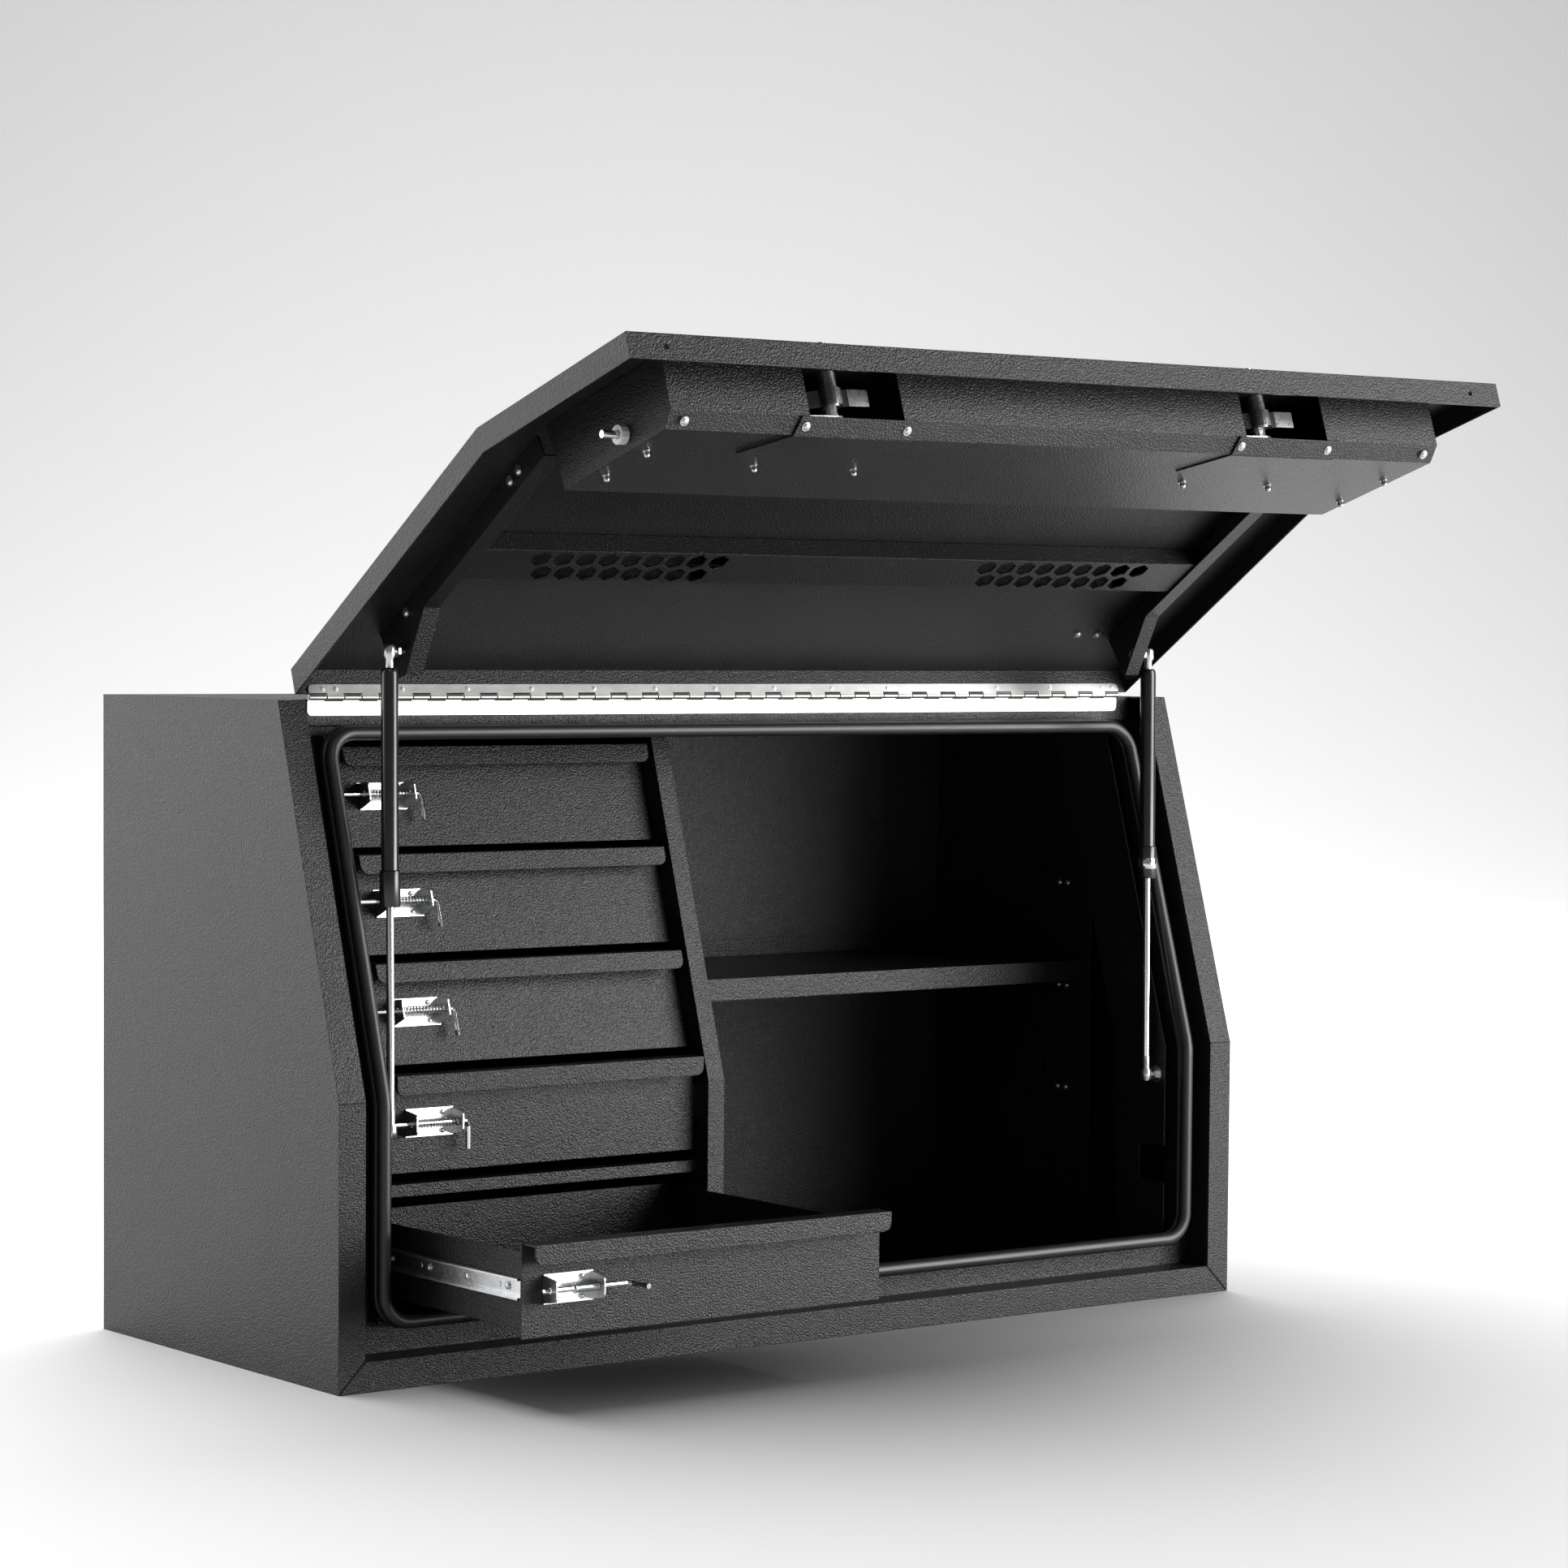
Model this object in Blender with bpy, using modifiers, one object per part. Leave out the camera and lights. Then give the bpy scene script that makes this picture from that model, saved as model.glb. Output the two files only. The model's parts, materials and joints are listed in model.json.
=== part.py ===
"""A lift-up vehicle tool box: a folded steel cabinet, a lid on gas struts and five latched drawers.

The origin is the centre of the base. X runs along the width, the front faces -Y and Z is up. The lid stands
open, the lowest drawer is pulled out and its latch bolt is drawn back.
"""
import math

import bmesh
import bpy
from mathutils import Matrix, Vector

# Driving dimensions, in metres.
WIDTH = 1.220
DEPTH = 0.500
HEIGHT = 0.700
SHEET = 0.002
GAP = 0.0003
BEND_HEIGHT = 0.2954
TOP_FRONT_Y = -0.127
FLANGE = 0.0315

# Door opening, its gutter and its seal.
DOOR_X = 0.5785
GUTTER_DEPTH = 0.042
LIP_X = 0.5515
LIP_BOTTOM = 0.0655
LIP_TOP = 0.6625
LIP_FRONT = 0.0185
SEAL_RADIUS = 0.0075
SEAL_DEPTH = 0.0105
SEAL_CORNER = 0.030
DROP_Y = -0.097
DROP_BOTTOM = 0.6725

# Piano hinge.
HINGE_Y = -0.1008
HINGE_Z = 0.702
HINGE_LENGTH = 1.117
KNUCKLES = 13
KNUCKLE_RADIUS = 0.0028
PIN_RADIUS = 0.0012
LEAF = 0.0015
BODY_LEAF_WIDTH = 0.019
LID_LEAF_WIDTH = 0.0135

# Lid, drawn closed and then swung open about the hinge.
LID_OPEN = math.radians(107.76)
LID_X = 0.57325
LID_TOP_Y = -0.1318
LID_TOP = 0.703
LID_BOTTOM = 0.0329
LID_EDGE = 0.0262
LID_FLANGE_END = -0.1045
CHANNEL_X = 0.502
CHANNEL_FACE = 0.020
TRAY_X = 0.507
TRAY_DEPTH = 0.073
TRAY_SHEET = 0.0015
LOCK_X = 0.285
LOCK_Z = 0.115
ROD_DEPTH = 0.056
ROD_Z = 0.152

# Inside of the cabinet.
INNER_X = 0.5375
INNER_INSET = 0.032
DIVIDER_X = -0.080
DIVIDER_INSET = 0.098
PARTITION_X = 0.567
PARTITION_FRONT = -0.047
SHELF_Z = 0.379
SHELF_FRONT = -0.027

# Drawers, from the top one down.
DRAWER_INSET = 0.118
SLIDE_PANEL_X = -0.4895
UPPER_DRAWER_LEFT = -0.484
LOW_DRAWER_LEFT = -0.532
DRAWER_RIGHT = -0.086
DRAWER_HEIGHTS = ((0.542, 0.648), (0.430, 0.535), (0.316, 0.422), (0.203, 0.308), (0.080, 0.175))
DRAWER_REAR = 0.232
DRAWER_OUT = 0.333
SLIDE_SPACE = 0.0127
PULL = 0.0225
PULL_DROP = 0.020
RAIL_LOW = 0.178
RAIL_HIGH = 0.191

# Drawer latches: a sprung bolt in a bracket with two ears.
LATCH_INSET = 0.025
LATCH_WIDTH = 0.0585
LATCH_HEIGHT = 0.030
EAR_DEPTH = 0.024
BOLT_RADIUS = 0.0026
BOLT_STANDOFF = 0.0125
UPPER_BOLT_TIP = -0.4865
LOW_BOLT_TIP = -0.5345
BOLT_TRAVEL = 0.018
UPPER_BOLT_REACH = 0.012
LOW_BOLT_REACH = 0.021
BOLT_ARM = 0.030

# Gas struts.
STRUT_X = 0.520
STRUT_LOW = (-0.2026, 0.2573)
STRUT_HIGH_CLOSED = (-0.1180, 0.5950)
TUBE_RADIUS = 0.0095
ROD_RADIUS = 0.0042

CABINET_TILT = math.atan2(TOP_FRONT_Y + DEPTH / 2, HEIGHT - BEND_HEIGHT)
LID_TILT = math.atan2(LID_TOP_Y + DEPTH / 2, LID_TOP - BEND_HEIGHT)
FRONT = -DEPTH / 2
BACK = DEPTH / 2
INSIDE_X = WIDTH / 2 - SHEET - GAP

for old in list(bpy.data.objects):
    bpy.data.objects.remove(old, do_unlink=True)

PARTS = bpy.data.collections.new("vehicle_tool_box")
CUTTERS = bpy.data.collections.new("cutters")
bpy.context.scene.collection.children.link(PARTS)
bpy.context.scene.collection.children.link(CUTTERS)


# ---- materials ----

def material(name, colour, roughness, metallic):
    made = bpy.data.materials.new(name)
    made.use_nodes = True
    shader = made.node_tree.nodes["Principled BSDF"]
    shader.inputs["Base Color"].default_value = (*colour, 1.0)
    shader.inputs["Roughness"].default_value = roughness
    shader.inputs["Metallic"].default_value = metallic
    return made


LOOKS = {
    "powder": ((0.020, 0.020, 0.021), 0.45, 0.0),
    "stainless": ((0.70, 0.69, 0.67), 0.28, 1.0),
    "zinc": ((0.62, 0.63, 0.64), 0.30, 1.0),
    "rubber": ((0.012, 0.012, 0.012), 0.50, 0.0),
    "strut_black": ((0.010, 0.010, 0.010), 0.25, 0.0),
    "chrome": ((0.80, 0.80, 0.80), 0.10, 1.0),
    "nylon": ((0.80, 0.80, 0.78), 0.40, 0.0),
}


# ---- shape helpers ----

def finish(obj, look):
    """Puts a finished piece in the model, in a material of its own."""
    colour, roughness, metallic = LOOKS[look]
    obj.data.materials.clear()
    obj.data.materials.append(material(f"{obj.name}_{look}", colour, roughness, metallic))
    PARTS.objects.link(obj)
    return obj


def as_tool(obj):
    if obj.name not in CUTTERS.objects:
        CUTTERS.objects.link(obj)
    obj.hide_render = True
    obj.display_type = "WIRE"


def combine(obj, operation, tools):
    for tool in tools:
        step = obj.modifiers.new(tool.name, "BOOLEAN")
        step.operation = operation
        step.solver = "EXACT"
        step.object = tool
        as_tool(tool)
    return obj


def join(obj, *tools):
    return combine(obj, "UNION", tools)


def cut(obj, *tools):
    return combine(obj, "DIFFERENCE", tools)


def as_mesh(source):
    """The curve as a mesh with welded caps, in the same place."""
    scene = bpy.context.scene.collection
    scene.objects.link(source)
    bpy.context.view_layer.update()
    graph = bpy.context.evaluated_depsgraph_get()
    mesh = bpy.data.meshes.new_from_object(source.evaluated_get(graph))
    shape = bmesh.new()
    shape.from_mesh(mesh)
    bmesh.ops.remove_doubles(shape, verts=shape.verts, dist=0.00001)
    bmesh.ops.recalc_face_normals(shape, faces=shape.faces)
    shape.to_mesh(mesh)
    shape.free()
    name = source.name
    place = source.matrix_world.copy()
    bpy.data.objects.remove(source, do_unlink=True)
    made = bpy.data.objects.new(name, mesh)
    made.matrix_world = place
    return made


def plate(name, axis, points, low, high, holes=()):
    """A flat outline, in the other two axes, made solid from low to high along axis."""
    curve = bpy.data.curves.new(name, "CURVE")
    curve.dimensions = "2D"
    curve.fill_mode = "BOTH"
    curve.extrude = (high - low) / 2
    for ring in (points, *holes):
        spline = curve.splines.new("POLY")
        spline.points.add(len(ring) - 1)
        for knot, (u, v) in zip(spline.points, ring):
            knot.co = (u, v, 0, 1)
        spline.use_cyclic_u = True
    turns = {"x": (math.pi / 2, 0, math.pi / 2), "y": (math.pi / 2, 0, 0), "z": (0, 0, 0)}
    source = bpy.data.objects.new(name, curve)
    source.rotation_euler = turns[axis]
    source.location["xyz".index(axis)] = (low + high) / 2
    return as_mesh(source)


def box(name, low, high):
    mesh = bpy.data.meshes.new(name)
    shape = bmesh.new()
    bmesh.ops.create_cube(shape, size=1.0)
    size = [b - a for a, b in zip(low, high)]
    bmesh.ops.scale(shape, vec=size, verts=shape.verts)
    shape.to_mesh(mesh)
    shape.free()
    made = bpy.data.objects.new(name, mesh)
    made.location = [(a + b) / 2 for a, b in zip(low, high)]
    return made


def cylinder(name, start, end, radius, sides=12):
    start, end = Vector(start), Vector(end)
    mesh = bpy.data.meshes.new(name)
    shape = bmesh.new()
    bmesh.ops.create_cone(
        shape, cap_ends=True, segments=sides, radius1=radius, radius2=radius, depth=(end - start).length
    )
    shape.to_mesh(mesh)
    shape.free()
    made = bpy.data.objects.new(name, mesh)
    made.rotation_mode = "QUATERNION"
    made.rotation_quaternion = (end - start).to_track_quat("Z", "Y")
    made.location = (start + end) / 2
    return made


def smooth(obj):
    obj.data.shade_smooth()
    obj.data.set_sharp_from_angle(angle=math.radians(40))
    return obj


def turned(name, profile, start, end, steps=12):
    """A profile of (radius, height) turned about the line that starts at start and points to end."""
    start, end = Vector(start), Vector(end)
    mesh = bpy.data.meshes.new(name)
    edges = [(i, i + 1) for i in range(len(profile) - 1)]
    mesh.from_pydata([(r, 0, h) for r, h in profile], edges, [])
    made = bpy.data.objects.new(name, mesh)
    screw = made.modifiers.new("turn", "SCREW")
    screw.steps = steps
    screw.render_steps = steps
    screw.use_merge_vertices = True
    screw.merge_threshold = 0.00001
    made.rotation_mode = "QUATERNION"
    made.rotation_quaternion = (end - start).to_track_quat("Z", "Y")
    made.location = start
    return made


def wire(name, points, radius, resolution=2, closed=False):
    """A round bar along points."""
    curve = bpy.data.curves.new(name, "CURVE")
    curve.dimensions = "3D"
    curve.bevel_depth = radius
    curve.bevel_resolution = resolution
    curve.use_fill_caps = not closed
    spline = curve.splines.new("POLY")
    spline.points.add(len(points) - 1)
    first = Vector(points[0])
    for knot, point in zip(spline.points, points):
        knot.co = (*(Vector(point) - first), 1)
    spline.use_cyclic_u = closed
    source = bpy.data.objects.new(name, curve)
    source.location = first
    return smooth(as_mesh(source))


def arc(centre, radius, start, end, steps=4):
    """Points along an arc in a plane, angles in degrees."""
    angles = [math.radians(start + (end - start) * i / steps) for i in range(steps + 1)]
    return [(centre[0] + radius * math.cos(a), centre[1] + radius * math.sin(a)) for a in angles]


def circle(centre, radius, sides=10):
    return arc(centre, radius, 0, 360 * (sides - 1) / sides, sides - 1)


def rectangle(left, low, right, high):
    return [(left, low), (right, low), (right, high), (left, high)]


def empty(name, location, tilt=0.0):
    made = bpy.data.objects.new(name, None)
    made.location = location
    made.rotation_euler = (tilt, 0, 0)
    PARTS.objects.link(made)
    return made


def with_tools(objects):
    """The objects, and every cutter that their modifiers use."""
    found = list(objects)
    for obj in found:
        found.extend(step.object for step in obj.modifiers if step.type == "BOOLEAN")
    return found


def carry(parent, *objects):
    """Parents pieces so that they keep their place in the world."""
    bpy.context.view_layer.update()
    for obj in with_tools(objects):
        obj.parent = parent
        obj.matrix_parent_inverse = parent.matrix_world.inverted()


def seat(parent, *objects):
    """Parents pieces that were drawn in the parent's own frame."""
    for obj in with_tools(objects):
        obj.parent = parent


# ---- the folded front line, in the YZ plane ----

def front_y(tilt, depth, height):
    """How far back the face lies at a height, when it is set depth behind the outer face."""
    bend = BEND_HEIGHT - depth * math.tan(tilt / 2)
    if height <= bend:
        return FRONT + depth
    return FRONT + (height - BEND_HEIGHT) * math.tan(tilt) + depth / math.cos(tilt)


def front_line(tilt, depth, low, high):
    heights = [low, high]
    bend = BEND_HEIGHT - depth * math.tan(tilt / 2)
    if low < bend < high:
        heights.insert(1, bend)
    return [(front_y(tilt, depth, h), h) for h in heights]


def strip(tilt, near, far, low, high):
    """The outline between two depths behind the outer face."""
    return front_line(tilt, near, low, high) + front_line(tilt, far, low, high)[::-1]


def cabinet_strip(near, far, low, high):
    return strip(CABINET_TILT, near, far, low, high)


def lid_strip(near, far, low, high):
    return strip(LID_TILT, near, far, low, high)


def on_slope(along, depth):
    """A point on the lid's sloping face: along from the bend, depth behind the outer face."""
    y = FRONT + along * math.sin(LID_TILT) + depth * math.cos(LID_TILT)
    z = BEND_HEIGHT + along * math.cos(LID_TILT) - depth * math.sin(LID_TILT)
    return (y, z)


# ---- cabinet shell ----

def side_panel(name, side):
    """A side wall with its front flange, mitred at the foot."""
    outline = [(BACK, 0), (BACK, HEIGHT)] + cabinet_strip(0, 1, 0, HEIGHT)[:3][::-1]
    edges = sorted((side * WIDTH / 2, side * (WIDTH / 2 - SHEET)))
    wall = plate(name, "x", outline, *edges)
    edges = sorted((side * WIDTH / 2, side * DOOR_X))
    flange = plate(f"{name}_flange", "x", cabinet_strip(0, SHEET, 0, HEIGHT), *edges)
    inner = side * (WIDTH / 2 - SHEET)
    past = side * (DOOR_X - SHEET)
    reach = WIDTH / 2 - abs(past)
    mitre = [(inner, -SHEET), (inner, SHEET), (past, reach), (past, -SHEET)]
    wedge = plate(f"{name}_mitre", "y", mitre, FRONT - SHEET, FRONT + 2 * SHEET)
    return finish(cut(join(wall, flange), wedge), "powder")


def top_panel():
    """The roof, notched for the hinge, with a flange that drops behind the hinge."""
    front = TOP_FRONT_Y + SHEET + GAP
    notch = DOOR_X
    outline = [(-INSIDE_X, BACK - SHEET - GAP), (-INSIDE_X, front), (-notch, front), (-notch, DROP_Y)]
    outline += [(-x, y) for x, y in outline[::-1]]
    roof = plate("top_panel", "z", outline, HEIGHT - SHEET, HEIGHT)
    drop = box("top_panel_drop", (-notch, DROP_Y, DROP_BOTTOM), (notch, DROP_Y + SHEET, HEIGHT))
    return finish(join(roof, drop), "powder")


def back_panel():
    low = (-INSIDE_X, BACK - SHEET, 0)
    return finish(box("back_panel", low, (INSIDE_X, BACK, HEIGHT)), "powder")


def floor_panel():
    """The floor, with the lower front flange mitred into the side flanges."""
    rear = BACK - SHEET - GAP
    outline = [(FRONT, 0), (rear, 0), (rear, SHEET)]
    outline += [(FRONT + SHEET, SHEET), (FRONT + SHEET, FLANGE), (FRONT, FLANGE)]
    floor = plate("floor_panel", "x", outline, -INSIDE_X, INSIDE_X)
    for side in (-1, 1):
        corner = WIDTH / 2 - 2 * GAP
        low, high = SHEET / 2, FLANGE + SHEET
        mitre = [(corner - low, low), (corner - high, high), (corner + SHEET, high), (corner + SHEET, low)]
        mitre = [(side * x, z) for x, z in mitre]
        cut(floor, plate(f"floor_mitre_{side}", "y", mitre, FRONT - SHEET, FRONT + 2 * SHEET))
    return finish(floor, "powder")


def door_frame():
    """The gutter around the door opening, with the inner lip that carries the seal."""
    wall = DOOR_X + SHEET
    low = FLANGE - SHEET
    top = DROP_BOTTOM - GAP
    behind = SHEET + GAP
    outer = plate("door_frame", "x", cabinet_strip(behind, GUTTER_DEPTH, low, top), -wall, wall)
    trough = cabinet_strip(-SHEET, GUTTER_DEPTH - SHEET, FLANGE, top + SHEET)
    groove = plate("door_frame_groove", "x", trough, -DOOR_X, DOOR_X)
    lip_line = cabinet_strip(LIP_FRONT, GUTTER_DEPTH - SHEET / 2, LIP_BOTTOM, LIP_TOP)
    lip = plate("door_frame_lip", "x", lip_line, -LIP_X, LIP_X)
    hole_line = cabinet_strip(0, 2 * GUTTER_DEPTH, LIP_BOTTOM + SHEET, LIP_TOP - SHEET)
    opening = plate("door_frame_opening", "x", hole_line, SHEET - LIP_X, LIP_X - SHEET)
    return finish(cut(join(cut(outer, groove), lip), opening), "powder")


def seal_points(radius):
    """The seal's centre line: a rounded rectangle laid on the folded front."""
    half = LIP_X - SHEET / 2
    low = LIP_BOTTOM + SHEET / 2
    high = LIP_TOP + 0.003
    loop = arc((-half + radius, low + radius), radius, 180, 270)
    loop += arc((half - radius, low + radius), radius, 270, 360)
    bend = BEND_HEIGHT - SEAL_DEPTH * math.tan(CABINET_TILT / 2)
    loop.append((half, bend))
    loop += arc((half - radius, high - radius), radius, 0, 90)
    loop += arc((-half + radius, high - radius), radius, 90, 180)
    loop.append((-half, bend))
    return [(x, front_y(CABINET_TILT, SEAL_DEPTH, z), z) for x, z in loop]


def door_seal():
    return finish(wire("door_seal", seal_points(SEAL_CORNER), SEAL_RADIUS, closed=True), "rubber")


# ---- inside of the cabinet ----

def through_door_line():
    """A front edge that reaches forward through the door frame, and stays behind it above and below."""
    behind = GUTTER_DEPTH + 0.0015
    low = LIP_BOTTOM + SHEET + 0.0015
    high = LIP_TOP - SHEET - 0.0015
    line = front_line(CABINET_TILT, behind, SHEET + GAP, low)
    line += front_line(CABINET_TILT, INNER_INSET, low, high)
    return line + front_line(CABINET_TILT, behind, high, HEIGHT - SHEET - GAP)


def slide_panel():
    """The wall beside the four upper drawers, set in from the strut, with a hole for each latch bolt."""
    low, high = RAIL_HIGH + 0.001, HEIGHT - SHEET - GAP
    rear = BACK - SHEET - 2 * GAP
    line = front_line(CABINET_TILT, DIVIDER_INSET, low, high)
    holes = []
    for bottom, crown in DRAWER_HEIGHTS[:-1]:
        tilt, foot, _ = drawer_face(bottom, crown)
        rise = (crown - bottom) / 2
        y = foot + rise * math.tan(tilt) - (GAP + BOLT_STANDOFF) * math.cos(tilt)
        holes.append(circle((y, bottom + rise - BOLT_STANDOFF * math.sin(tilt)), BOLT_RADIUS + 0.001))
    outline = line + [(rear, high), (rear, low)]
    return plate("slide_panel", "x", outline, SLIDE_PANEL_X, SLIDE_PANEL_X + SHEET, holes)


def left_inner_panel():
    """The panel behind the left strut, stepped in above the lowest drawer to carry the other slides."""
    rear = BACK - SHEET - 2 * GAP
    line = through_door_line()
    slot = box(
        "left_rod_slot",
        (-INNER_X - SHEET, FRONT, ROD_Z - 0.022),
        (SHEET - INNER_X, FRONT + 0.075, ROD_Z + 0.022),
    )
    outline = line + [(rear, HEIGHT - SHEET - GAP), (rear, SHEET + GAP)]
    wall = plate("left_inner_panel", "x", outline, -INNER_X, SHEET - INNER_X)
    nut = strut_nut("left_strut_nut", -1)
    low = RAIL_HIGH + 0.001
    step = box(
        "slide_panel_step",
        (-INNER_X + SHEET / 2, FRONT + DIVIDER_INSET + SHEET, low),
        (SLIDE_PANEL_X + SHEET / 2, rear, low + SHEET),
    )
    return finish(cut(join(wall, nut, step, slide_panel()), slot), "powder")


def strut_nut(name, side):
    """The hexagon nut that the lower stud of a gas strut screws into."""
    inner = INNER_X - SHEET
    start = (side * (inner + SHEET / 2), *STRUT_LOW)
    return cylinder(name, start, (side * (inner - 0.006), *STRUT_LOW), 0.0075, 6)


def right_inner_panel():
    """The upright strip that carries the foot of the right strut, slotted for the lock rod."""
    rear = front_line(CABINET_TILT, 0.115, SHEET + GAP, HEIGHT - SHEET - GAP)
    outline = through_door_line() + rear[::-1]
    wall = plate("right_inner_panel", "x", outline, INNER_X - SHEET, INNER_X)
    slot = box(
        "right_rod_slot",
        (INNER_X - 2 * SHEET, FRONT, ROD_Z - 0.022),
        (INNER_X + SHEET, FRONT + 0.075, ROD_Z + 0.022),
    )
    return finish(cut(join(wall, strut_nut("right_strut_nut", 1)), slot), "powder")


def divider_panel():
    """The wall between drawers and shelf compartment, with a flange along its front edge."""
    low = SHEET + GAP
    high = HEIGHT - SHEET - GAP
    rear = BACK - SHEET - GAP
    outline = front_line(CABINET_TILT, DIVIDER_INSET, low, high) + [(rear, high), (rear, low)]
    wall = plate("divider_panel", "x", outline, DIVIDER_X, DIVIDER_X + SHEET)
    line = cabinet_strip(DIVIDER_INSET, DIVIDER_INSET + SHEET, low, high)
    flange = plate("divider_panel_flange", "x", line, DIVIDER_X, DIVIDER_X + 0.022)
    return finish(join(wall, flange), "powder")


def keyhole(y, z):
    """A round hole with a narrow slot above it."""
    return arc((y, z), 0.005, 120, 420, 8) + [(y + 0.0025, z + 0.014), (y - 0.0025, z + 0.014)]


def right_partition():
    """The upright panel on the right of the shelf compartment, with keyholes for hanging."""
    outline = rectangle(PARTITION_FRONT, SHEET + GAP, BACK - SHEET - GAP, HEIGHT - SHEET - GAP)
    holes = [keyhole(y, z) for y in (0.038, 0.226) for z in (0.243, 0.493)]
    wall = plate("right_partition", "x", outline, PARTITION_X, PARTITION_X + SHEET, holes)
    return finish(wall, "powder")


def shelf():
    """The fixed shelf, with a flange turned down at the front and up at the back."""
    low = SHELF_Z - 0.025
    rear = BACK - SHEET - GAP
    outline = [
        (SHELF_FRONT, low), (SHELF_FRONT, SHELF_Z), (rear - SHEET, SHELF_Z), (rear - SHEET, SHELF_Z + 0.020),
        (rear, SHELF_Z + 0.020), (rear, SHELF_Z - SHEET), (SHELF_FRONT + SHEET, SHELF_Z - SHEET),
        (SHELF_FRONT + SHEET, low),
    ]
    board = plate("shelf", "x", outline, DIVIDER_X + SHEET + GAP, PARTITION_X - GAP)
    return finish(board, "powder")


def drawer_rail():
    """The fixed rail between the two lowest drawers."""
    y = FRONT + DRAWER_INSET
    outline = [
        (y, RAIL_LOW), (y, RAIL_HIGH), (y + 0.022, RAIL_HIGH), (y + 0.022, RAIL_HIGH - SHEET),
        (y + SHEET, RAIL_HIGH - SHEET), (y + SHEET, RAIL_LOW),
    ]
    rail = plate("drawer_rail", "x", outline, SHEET + GAP - INNER_X, DIVIDER_X - GAP)
    return finish(rail, "powder")


# ---- piano hinge ----

def knuckle_span(index):
    pitch = HINGE_LENGTH / KNUCKLES
    low = -HINGE_LENGTH / 2 + index * pitch
    return low + GAP, low + pitch - GAP


def comb(first, edge, root, tip):
    """A hinge leaf's outline: a strip with a tab at every second knuckle."""
    half = HINGE_LENGTH / 2
    outline = [(-half, root), (-half, edge), (half, edge), (half, root)]
    for index in reversed(range(first, KNUCKLES, 2)):
        low, high = knuckle_span(index)
        outline += [(high, root), (high, tip), (low, tip), (low, root)]
    return outline


def hinge_leaf(name, first, leaf):
    """Adds the knuckles to a flat leaf and bores them for the pin."""
    for index in range(first, KNUCKLES, 2):
        low, high = knuckle_span(index)
        ends = ((low, HINGE_Y, HINGE_Z), (high, HINGE_Y, HINGE_Z))
        join(leaf, cylinder(f"{name}_knuckle_{index}", *ends, KNUCKLE_RADIUS, 10))
    reach = HINGE_LENGTH / 2 + SHEET
    bore = cylinder(f"{name}_bore", (-reach, HINGE_Y, HINGE_Z), (reach, HINGE_Y, HINGE_Z), PIN_RADIUS + GAP, 10)
    return finish(cut(leaf, bore), "stainless")


def hinge_body_leaf():
    """The leaf on the drop flange."""
    back = DROP_Y - GAP
    outline = comb(0, HINGE_Z - BODY_LEAF_WIDTH, 0.6985, 0.7015)
    leaf = plate("hinge_body_leaf", "y", outline, back - LEAF, back)
    return hinge_leaf("hinge_body_leaf", 0, leaf)


def hinge_lid_leaf():
    """The narrower leaf under the top of the lid."""
    high = LID_TOP - SHEET - GAP
    outline = comb(1, HINGE_Y - LID_LEAF_WIDTH, -0.1043, -0.1013)
    leaf = plate("hinge_lid_leaf", "z", outline, high - LEAF, high)
    return hinge_leaf("hinge_lid_leaf", 1, leaf)


def hinge_pin():
    half = HINGE_LENGTH / 2
    pin = cylinder("hinge_pin", (-half, HINGE_Y, HINGE_Z), (half, HINGE_Y, HINGE_Z), PIN_RADIUS, 10)
    return finish(smooth(pin), "stainless")


# ---- lid ----

def lid_panel():
    """The folded lid skin with its turned-in edges and the flange that the hinge holds."""
    outline = lid_strip(0, LID_EDGE, LID_BOTTOM, LID_TOP)
    skin = plate("lid_panel", "x", outline, -LID_X, LID_X)
    inside = lid_strip(SHEET, 3 * LID_EDGE, LID_BOTTOM + SHEET, LID_TOP - SHEET)
    hollow = plate("lid_panel_hollow", "x", inside, SHEET - LID_X, LID_X - SHEET)
    cut(skin, hollow)
    low = (-LID_X - SHEET, LID_FLANGE_END, LID_TOP - 0.05)
    cut(skin, box("lid_panel_trim", low, (LID_X + SHEET, 0, LID_TOP + SHEET)))
    for side in (-1, 1):
        x, y = side * 0.530, FRONT + LID_EDGE / 2
        drain = cylinder(f"lid_drain_{side}", (x, y, 0), (x, y, LID_BOTTOM + 0.01), 0.0028, 8)
        x = side * LOCK_X
        lock = cylinder(f"lid_lock_{side}", (x, FRONT - SHEET, LOCK_Z), (x, FRONT + 0.01, LOCK_Z), 0.0095)
        cut(skin, drain, lock)
    return finish(skin, "powder")


def lid_channel(name, side):
    """A side bracket of the lid: a web with a flange, deeper at the end that holds the strut."""
    sheet_side = SHEET + GAP
    inner = [(0.005, 0.027), (0.269, 0.027), (0.336, 0.065)]
    web_line = [(0.005, sheet_side)] + inner + [(0.355, 0.058), (0.355, sheet_side)]
    outer = side * CHANNEL_X
    web_edges = sorted((outer, outer - side * SHEET))
    web = plate(name, "x", [on_slope(*p) for p in web_line], *web_edges)
    face_line = inner + [(s, d - SHEET) for s, d in inner[::-1]]
    face_edges = sorted((outer, outer - side * CHANNEL_FACE))
    face = plate(f"{name}_face", "x", [on_slope(*p) for p in face_line], *face_edges)
    return finish(join(web, face), "powder")


def hexagons(centre, count, radius):
    """Two staggered rows of hexagonal vent holes."""
    pitch = 2 * radius + 0.003
    rows = []
    for row, shift in ((0, 0.0), (1, pitch / 2)):
        for i in range(count - row):
            x = centre + (i - (count - 1) / 2) * pitch + shift
            rows.append(arc((x, (row - 0.5) * pitch * 0.87), radius, 30, 330, 5))
    return rows


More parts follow.
